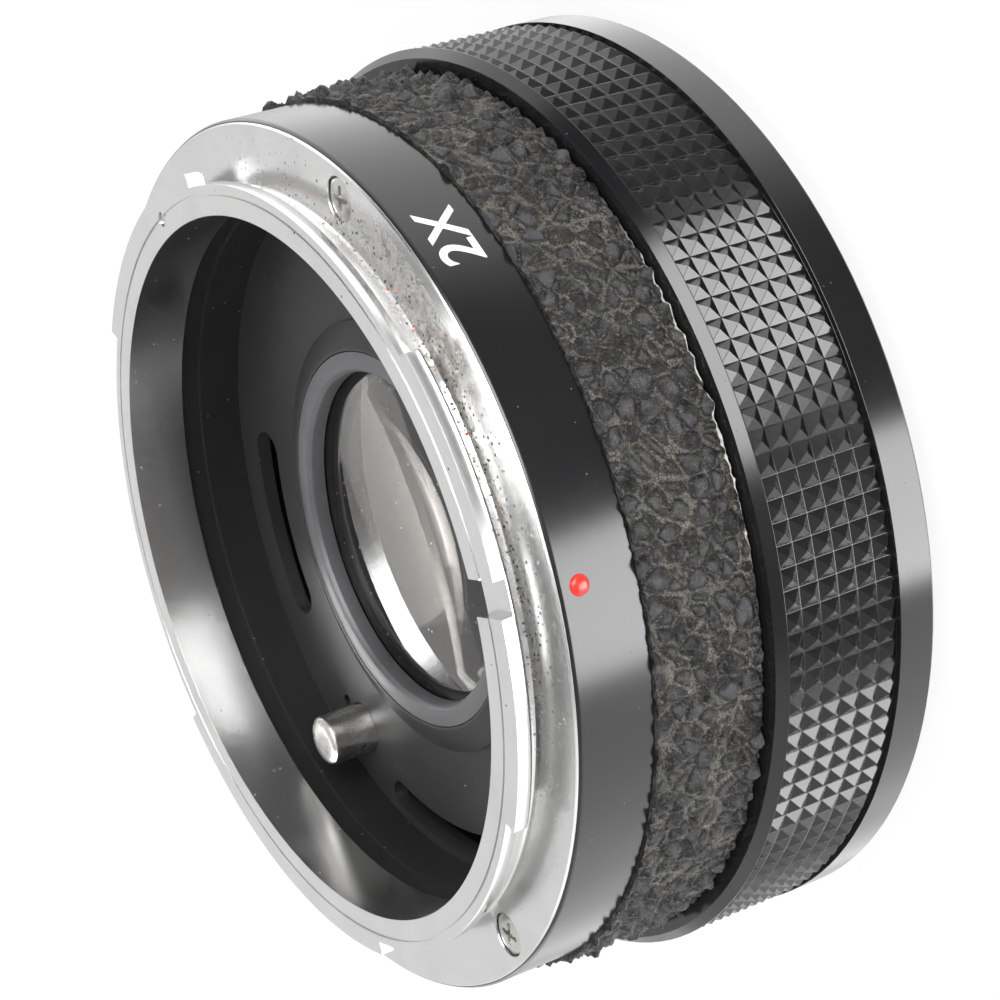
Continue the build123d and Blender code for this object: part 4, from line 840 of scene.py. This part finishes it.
class CONVERTER_OT_grip_cover(PieceOperator):
    """Pebbled covering round the barrel, displaced into irregular pyramids"""

    bl_idname = "converter.grip_cover"
    bl_label = "Grip covering"

    def build(self):
        top = COVER + 0.08
        height = Z_BAND_FRONT - Z_BAND_REAR
        rows = [(top, Z_BAND_REAR + height * row / (COVER_ROWS - 1)) for row in range(COVER_ROWS)]
        cover = spun("grip_cover", [(BARREL, Z_BAND_REAR), *rows, (BARREL, Z_BAND_FRONT)], steps=FINE_STEPS)
        outer = [vert.index for vert in cover.data.vertices if hypot(*vert.co.xy) > (top - 0.1) * MM]
        cover.vertex_groups.new(name=OUTSIDE).add(outer, 1.0, "REPLACE")
        edges = []
        for level in (Z_BAND_REAR, Z_BAND_FRONT):
            edge = cover.vertex_groups.new(name="edge")
            edge.add([vert for vert in outer if abs(cover.data.vertices[vert].co.z - level * MM) < 0.01 * MM],
                     1.0, "REPLACE")
            edges.append((edge.index, level))
        pitch, depth = self.sizes.pebble_pitch, self.sizes.pebble_depth
        for name, size, push, contrast in (
                ("pebbles", pitch, depth, 8.0),
                ("grain", pitch * 0.36, depth * 0.30, 4.0),
                ("wave", pitch * 1.4, depth * 0.5, None)):
            self.displace(cover, name, size, push, contrast)
            if name == "pebbles":
                layer = cover.data.attributes.new(FURROW, "FLOAT", "POINT")
                radii = (hypot(*vert.co.xy) for vert in cover.data.vertices)
                layer.data.foreach_set("value", [
                    (top * MM - radius) / depth if radius > (BARREL + 0.1) * MM else 0.0 for radius in radii])
        bpy.ops.object.mode_set(mode="EDIT")
        bpy.ops.mesh.select_mode(type="VERT")
        for group, level in edges:
            bpy.ops.mesh.select_all(action="DESELECT")
            cover.vertex_groups.active_index = group
            bpy.ops.object.vertex_group_select()
            bpy.ops.transform.resize(value=(1, 1, 0), center_override=(0, 0, level * MM))
        bpy.ops.object.mode_set(mode="OBJECT")
        dress(cover, pebbled_cover(self.colours.cover), "grip_band",
              smooth=radians(55), turned=False)

    def displace(self, cover, name, size, push, contrast):
        """Sinks the outside by up to push: in cells with a contrast, in clouds without."""
        texture = bpy.data.textures.new(name, "VORONOI" if contrast else "CLOUDS")
        texture.noise_scale = size
        if contrast:
            texture.weight_1 = -1.0
            texture.weight_2 = 1.0
            texture.noise_intensity = contrast
        modify(cover, "DISPLACE", texture=texture, texture_coords="LOCAL", direction="NORMAL",
               vertex_group=OUTSIDE, strength=push, mid_level=1.0)


class CONVERTER_OT_barrel(PieceOperator):
    """Barrel, throat floor with its slots, and the post"""

    bl_idname = "converter.barrel"
    bl_label = "Barrel and throat"

    def build(self):
        satin = black_matt(self.colours.matt)
        dull = black_matt(shaded(self.colours.matt, 0.7), "barrel_black", 0.42, 0.14)
        barrel = spun("barrel_body", [
            (THROAT_BORE, Z_THROAT_END), (SLEEVE, Z_THROAT_END), (SLEEVE, Z_SPIGOT_SEAT),
            (SPIGOT_SEAT, Z_SPIGOT_SEAT), (SPIGOT_SEAT, Z_SEAT), (NAME_SEAT, Z_SEAT),
            (NAME_SEAT, Z_NAME_REAR), (BARREL, Z_NAME_REAR), (BARREL, Z_SHOULDER), (JOURNAL, Z_SHOULDER),
            (JOURNAL, Z_JOURNAL_END), (TAIL, Z_JOURNAL_END), (TAIL, Z_PLATE_TOP), (BAFFLE_SEAT, Z_PLATE_TOP),
            (BAFFLE_SEAT, Z_BAFFLE_TOP), (CAVITY, Z_BAFFLE_TOP), (CAVITY, Z_LEDGE_END), (LEDGE, Z_LEDGE_END),
            (LEDGE, Z_FLOOR_LOW), (PLATE_BORE, Z_FLOOR_LOW), (PLATE_BORE, Z_THROAT_STEP),
            (THROAT_BORE, Z_THROAT_STEP)])
        soften(barrel, 0.05)
        dress(barrel, dull, "main_barrel")

        floor = spun("throat_floor", [(CELL_NECK, Z_FLOOR_LOW), (PLATE_BORE - 0.05, Z_FLOOR_LOW),
                                      (PLATE_BORE - 0.05, Z_FLOOR), (CELL_NECK, Z_FLOOR)])
        for inner, outer, start, end in FLOOR_SLOTS:
            middle, reach = (inner + outer) / 2, (outer - inner) / 2
            turn = reach / radians(middle)
            ends = (start + turn, end - turn)
            slot = sector(inner, outer, *ends, Z_FLOOR_LOW, Z_FLOOR)
            combine(slot, *[drill((middle, angle), reach, Z_FLOOR_LOW - 0.45, Z_FLOOR + 0.45)
                            for angle in ends], operation="UNION")
            combine(floor, slot)
        combine(floor, drill(POST, POST_HEAD + 0.06, Z_FLOOR_LOW - PAST, Z_FLOOR + PAST),
                drill(VENT, VENT_HOLE, Z_FLOOR_LOW - PAST, Z_FLOOR + PAST, 24))
        dress(floor, satin, "mechanism_plate")

        low, top = heights("aperture_pin")
        tail = Z_FLOOR_LOW - 2.8
        post = spun("signal_post", [
            (0.0, low), (POST_STEM - 0.15, low), (POST_STEM, low + 0.15), (POST_STEM, tail),
            (POST_HEAD, tail), (POST_HEAD, top - 0.45), (1.74, top - 0.25), (1.58, top - 0.10),
            (1.3, top - 0.02), (0.9, top), (0.0, top)], steps=64, place=POST)
        dress(post, turned_steel(self.colours.steel, "post_steel", 0.18),
              stands_for="aperture_pin", body="aperture_pin")


class CONVERTER_OT_glass_cell(PieceOperator):
    """Lens cell, the grey ring round the glass and the four elements"""

    bl_idname = "converter.glass_cell"
    bl_label = "Lens cell and glass"

    def build(self):
        ring_low = Z_CELL_TOP - 1.4
        stop_top, stop_low = 14.95, 14.25
        rear_ring = Z_CELL_END + 1.6
        cell = spun("glass_cell", [
            (FRONT_RING_OUTER + 0.05, Z_CELL_TOP), (CELL_TOP, Z_CELL_TOP), (CELL_NECK, Z_CELL_TOP - 0.7),
            (CELL_NECK, Z_FLOOR_LOW), (CELL_JOURNAL, Z_FLOOR_LOW), (CELL_JOURNAL, Z_JOURNAL_LOW),
            (CELL_TAIL, Z_JOURNAL_LOW), (CELL_TAIL, Z_CELL_END), (REAR_RING_BORE, Z_CELL_END),
            (REAR_RING_BORE, rear_ring), (GLASS_BORE, rear_ring), (GLASS_BORE, stop_low),
            (GLASS_BORE - 1.4, stop_low), (GLASS_BORE - 1.4, stop_top), (GLASS_BORE, stop_top),
            (GLASS_BORE, ring_low), (FRONT_RING_OUTER + 0.05, ring_low)])
        soften(cell, 0.04)
        dress(cell, black_matt(self.colours.matt, "cell_black", 0.3), "lens_cell")
        relief = bowl(GLASS, FRONT_BULGE, FRONT_RING_INNER) + 0.05
        ring = spun("cell_ring", [
            (FRONT_RING_INNER, ring_low + relief), (GLASS_BORE, ring_low), (FRONT_RING_OUTER, ring_low),
            (FRONT_RING_OUTER, Z_CELL_TOP), (FRONT_RING_INNER + 0.25, Z_CELL_TOP),
            (FRONT_RING_INNER, Z_CELL_TOP - 0.3)])
        soften(ring, 0.05)
        dress(ring, black_matt(self.colours.grey, "ring_grey", 0.28), "front_retaining_ring")
        glass = coated_glass(self.colours.glass)
        for name, node, reach, top, thick, up, down in (
                ("glass_1", "front_element", GLASS, ring_low, 2.0, FRONT_BULGE, 0.5),
                ("glass_2", "second_element", GLASS_CLEAR, ring_low - 2.8, 2.45, -0.55, -0.6),
                ("glass_3", "third_element", GLASS_CLEAR, stop_low, 2.2, 0.3, 0.8),
                ("glass_4", "rear_element", GLASS_CLEAR, stop_low - 4.0, 3.5, -1.0, -0.4)):
            low = top - thick
            face = [(reach * share / 12, top + bowl(reach, up, reach * share / 12)) for share in range(13)]
            back = [(GLASS_CLEAR * share / 12, low - bowl(GLASS_CLEAR, down, GLASS_CLEAR * share / 12))
                    for share in range(12, -1, -1)]
            rim = [(GLASS, top)] * (reach < GLASS) + [(GLASS, low)]
            lens = spun(name, face + rim + back, steps=96)
            dress(lens, glass, node, turned=False)


class CONVERTER_OT_breech_ring(PieceOperator):
    """Knurled breech ring of pyramids between two plain lands, and the steel ring with its inner lugs"""

    bl_idname = "converter.breech_ring"
    bl_label = "Breech ring"

    def build(self):
        columns, rows = self.sizes.knurl_columns, self.sizes.knurl_rows
        valley = SHELL - self.sizes.knurl_depth / MM
        ring = spun("knurled_ring", [
            (SHELL_BORE, Z_SHELL_FRONT), (SHELL - LAND_CHAMFER, Z_SHELL_FRONT),
            (SHELL, Z_SHELL_FRONT - LAND_CHAMFER), (SHELL, KNURL_TOP)]
            + [(valley, KNURL_TOP - (KNURL_TOP - KNURL_LOW) * row / rows) for row in range(rows + 1)]
            + [(SHELL, KNURL_LOW), (SHELL, Z_SHELL_REAR + REAR_CHAMFER),
               (SHELL - REAR_CHAMFER, Z_SHELL_REAR), (LUG_RING_SEAT, Z_SHELL_REAR),
               (LUG_RING_SEAT, Z_LUG_RING_SEAT), (SHELL_BORE, Z_LUG_RING_SEAT)], steps=columns)
        take(ring)
        bpy.ops.object.mode_set(mode="EDIT")

        def in_knurl(face):
            """Whether a face lies on the valley cylinder of the knurl."""
            middle = face.calc_center_median()
            inside = abs(hypot(*middle.xy) - valley * MM) < 0.05 * MM
            return inside and KNURL_LOW * MM < middle.z < KNURL_TOP * MM

        pick("faces", in_knurl)
        bpy.ops.mesh.poke(offset=(SHELL - valley) * cos(pi / columns) * MM)
        pick_all()
        bpy.ops.mesh.normals_make_consistent(inside=False)
        bpy.ops.object.mode_set(mode="OBJECT")
        soften(ring, 0.016, 1)
        dress(ring, black_gloss(self.colours.gloss, "ring_black", 0.10, 0.08),
              stands_for="breech_ring", body="breech_ring", smooth=radians(12))

        lugs = spun("breech_lugs", [
            (RIB, Z_LUG_RING_SEAT), (LUG_RING, Z_LUG_RING_SEAT), (LUG_RING, Z_INNER_LUG_LOW),
            (INNER_LUG, Z_INNER_LUG_LOW), (INNER_LUG, Z_INNER_LUG_TOP), (LUG_RING_BORE, Z_INNER_LUG_TOP),
            (LUG_RING_BORE, Z_PLATE_TOP + 0.05), (RIB, Z_PLATE_TOP + 0.05)])
        combine(lugs, *[spun("waste", [
            (INNER_LUG - PAST, Z_INNER_LUG_LOW - PAST), (LUG_RING_BORE, Z_INNER_LUG_LOW - PAST),
            (LUG_RING_BORE, Z_INNER_LUG_TOP + 0.3), (INNER_LUG - PAST, Z_INNER_LUG_TOP + 0.3)],
            start, end, steps=64) for start, end in INNER_LUG_GAPS])
        soften(lugs, 0.08, 2, STEEP)
        dress(lugs, turned_steel(self.colours.steel, "lug_steel", 0.28),
              stands_for="breech_lug_ring", body="breech_ring")


class CONVERTER_OT_camera_side(PieceOperator):
    """Camera-side mount, rear baffle and skirt"""

    bl_idname = "converter.camera_side"
    bl_label = "Camera side"

    def build(self):
        mount = spun("camera_mount", [
            (SPIGOT_BORE, Z_PLATE_TOP), (MOUNT_PLATE, Z_PLATE_TOP), (MOUNT_PLATE, Z_PLATE_FACE),
            (LAND_OUTER, Z_PLATE_FACE), (LAND_OUTER, Z_FACE), (SPIGOT + 0.15, Z_FACE),
            (SPIGOT + 0.15, Z_PLATE_FACE), (SPIGOT, Z_PLATE_FACE), (SPIGOT, Z_FACE - 2.2),
            (SPIGOT - 0.3, Z_FACE - 2.5), (SPIGOT_BORE, Z_FACE - 2.5)])
        soften(mount, 0.06)
        combine(mount, *[
            drill((REAR_SCREW_CIRCLE, angle), SCREW_SINK, Z_PLATE_FACE - 0.3, Z_PLATE_FACE + 0.75, 48, 1.40)
            for angle in REAR_SCREWS])
        dress(mount, chrome_plate(self.colours.chrome, "chrome_rear", 0.5), "rear_mount")
        bore, collar, rim = CELL_TAIL + 0.05, CELL_TAIL + 0.85, BAFFLE_SEAT - 0.05
        baffle = spun("rear_baffle_skirt", [
            (bore, Z_COLLAR_TOP), (collar, Z_COLLAR_TOP), (collar, Z_BAFFLE_TOP), (rim, Z_BAFFLE_TOP),
            (rim, Z_PLATE_TOP), (SKIRT, Z_PLATE_TOP), (SKIRT, 0.0), (SKIRT_BORE, 0.0),
            (SKIRT_BORE, Z_PLATE_TOP), (bore, Z_PLATE_TOP)])
        soften(baffle, 0.08)
        for slot in BAFFLE_SLOTS:
            combine(baffle, sector(*slot, Z_PLATE_TOP, Z_BAFFLE_TOP))
        combine(baffle, drill(POST, POST_STEM + 0.05, Z_PLATE_TOP - PAST, Z_BAFFLE_TOP + PAST))
        dress(baffle, black_matt(self.colours.matt, "baffle_black", 0.36), "rear_baffle")


class CONVERTER_OT_carried_nodes(PieceOperator):
    """Materials of the CAD pieces that stay"""

    bl_idname = "converter.carried_nodes"
    bl_label = "Inner pieces"

    def build(self):
        lever = turned_steel(shaded(self.colours.steel, 0.35), "lever_steel", 0.34)
        spring = turned_steel(shaded(self.colours.steel, 0.8), "spring_steel", 0.3)
        pin = turned_steel(self.colours.steel, "pin_steel", 0.22)
        spacer = black_matt(self.colours.matt, "spacer_black", 0.4)
        for material, nodes in (
                (lever, ("signal_lever_ring", "aperture_lever_ring", "lever_separator")),
                (spring, ("lever_clip", "return_springs", "aperture_pin_spring", "release_pin_spring")),
                (pin, ("mount_stop_pin", "positioning_pin", "release_pin", "breech_ring_screws")),
                (spacer, ("front_spacer", "rear_spacer", "rear_retaining_ring"))):
            for node in nodes:
                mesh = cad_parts[node].data
                mesh.materials.clear()
                mesh.materials.append(material)


class CONVERTER_OT_stage(PieceOperator):
    """Camera, pale floor, room light and softboxes"""

    bl_idname = "converter.stage"
    bl_label = "Stage"

    def build(self):
        camera = bpy.data.cameras.new("camera")
        camera.lens = CAMERA_LENS
        camera.sensor_width = 36.0
        camera.clip_start = 0.01
        holder = bpy.data.objects.new("camera", camera)
        holder.location = CAMERA_PLACE
        holder.rotation_euler = [radians(turn) for turn in CAMERA_TURN]
        bpy.context.scene.collection.objects.link(holder)
        bpy.context.scene.camera = holder
        self.floor()
        self.room()
        for name, place, size, share in LAMPS:
            self.lamp(name, place, size, self.light.key * share)
        bpy.context.scene.view_settings.view_transform = "Standard"

    def lamp(self, name, place, size, power):
        """Soft square lamp that looks at the converter and isn't seen in reflections."""
        lamp = bpy.data.lights.new(name, "AREA")
        lamp.size = size
        lamp.energy = power
        holder = bpy.data.objects.new(name, lamp)
        holder.location = place
        aim = Vector(LAMP_AIM) - Vector(place)
        holder.rotation_euler = aim.to_track_quat("-Z", "Y").to_euler()
        holder.visible_glossy = False
        bpy.context.scene.collection.objects.link(holder)

    def floor(self):
        """Pale floor that shows white to the camera, keeps the shadow and lets reflections through."""
        calm()
        bpy.ops.mesh.primitive_plane_add(size=3.0, location=(0, 0, -0.0001))
        floor = bpy.context.object
        floor.name = "floor"
        paint = new_paint("pale_floor")
        camera, glossy, through = (paint.node("ShaderNodeLightPath", out=ray) for ray in RAYS)
        pale = paint.mix(paint.noise(40.0), (0.80, 0.80, 0.80), (0.83, 0.83, 0.83))
        plain = paint.node("ShaderNodeBsdfDiffuse", Color=pale)
        white = paint.node("ShaderNodeEmission", Color=(1.0, 1.0, 1.0, 1.0), Strength=1.0)
        seen = paint.node("ShaderNodeMixShader", a=(camera * 0.88).at_least(through), b=plain, c=white)
        clear = paint.node("ShaderNodeBsdfTransparent")
        whole = paint.node("ShaderNodeMixShader", a=glossy, b=seen, c=clear)
        paint.node("ShaderNodeOutputMaterial", Surface=whole)
        floor.data.materials.append(paint.material)

    def room(self):
        """White room whose softboxes and dim zones show only in reflections."""
        world = bpy.data.worlds.new("room")
        world.use_nodes = True
        bpy.context.scene.world = world
        paint = Paint(world.node_tree)
        spot = paint.node("ShaderNodeTexCoord", out="Generated")
        camera, glossy, through = (paint.node("ShaderNodeLightPath", out=ray) for ray in RAYS)

        def panel(azimuth, elevation, half_width, half_height, soft, strength):
            """The strength inside a panel that hangs in one direction, 0 outside it."""
            a, e = radians(azimuth), radians(elevation)
            ahead = Vector((cos(a) * cos(e), sin(a) * cos(e), sin(e)))
            across = Vector((-sin(a), cos(a), 0.0))
            up = ahead.cross(across)
            along, side, rise = (
                paint.node("ShaderNodeVectorMath", {"operation": "DOT_PRODUCT"}, out="Value", a=spot, b=axis)
                for axis in (ahead, across, up))
            reach = along.at_least(0.001)
            width = abs(side / reach).fade(half_width + soft, half_width - soft)
            height = abs(rise / reach).fade(half_height + soft, half_height - soft)
            return width * height * along.fade(0.0, 0.02) * strength

        strong, mild, shade = (sum(panel(*row) for row in rows) for rows in (STRONG, MILD, SHADE))
        mirror = 1.0 - shade + strong * self.light.softbox + mild
        direct = camera.at_least(through)
        level = direct + (1 - direct) * (glossy * mirror + (1 - glossy) * self.light.daylight)
        back = paint.node("ShaderNodeBackground", Color=(1.0, 1.0, 1.0, 1.0), Strength=level)
        paint.node("ShaderNodeOutputWorld", Surface=back)
        world.cycles.sampling_method = "NONE"


class CONVERTER_PT_panel(bpy.types.Panel):
    """Sidebar panel with the values and the pieces"""

    bl_label = "Teleconverter"
    bl_idname = "CONVERTER_PT_panel"
    bl_space_type = "VIEW_3D"
    bl_region_type = "UI"
    bl_category = "Converter"

    def draw(self, context):
        for name, group in GROUPS:
            box = self.layout.box()
            for value in group.__annotations__:
                box.prop(getattr(context.scene, name), value)
        for operator in OPERATORS:
            self.layout.operator(operator.bl_idname)


OPERATORS = (
    CONVERTER_OT_stage,
    CONVERTER_OT_lens_mount,
    CONVERTER_OT_screws,
    CONVERTER_OT_name_band,
    CONVERTER_OT_grip_cover,
    CONVERTER_OT_barrel,
    CONVERTER_OT_glass_cell,
    CONVERTER_OT_breech_ring,
    CONVERTER_OT_camera_side,
    CONVERTER_OT_carried_nodes,
)
GROUPS = (
    ("converter_sizes", ConverterSizes),
    ("converter_colours", ConverterColours),
    ("converter_light", ConverterLight),
)


def register():
    """Registers the values, the operators and the panel."""
    for name, group in GROUPS:
        bpy.utils.register_class(group)
        setattr(bpy.types.Scene, name, bpy.props.PointerProperty(type=group))
    for operator in OPERATORS:
        bpy.utils.register_class(operator)
    bpy.utils.register_class(CONVERTER_PT_panel)


def unregister():
    """Removes them in the opposite order."""
    bpy.utils.unregister_class(CONVERTER_PT_panel)
    for operator in reversed(OPERATORS):
        bpy.utils.unregister_class(operator)
    for name, group in reversed(GROUPS):
        delattr(bpy.types.Scene, name)
        bpy.utils.unregister_class(group)


def main():
    register()
    for operator in OPERATORS:
        getattr(bpy.ops.converter, operator.bl_idname.split(".")[1])()
    calm()


if __name__ == "__main__":
    main()
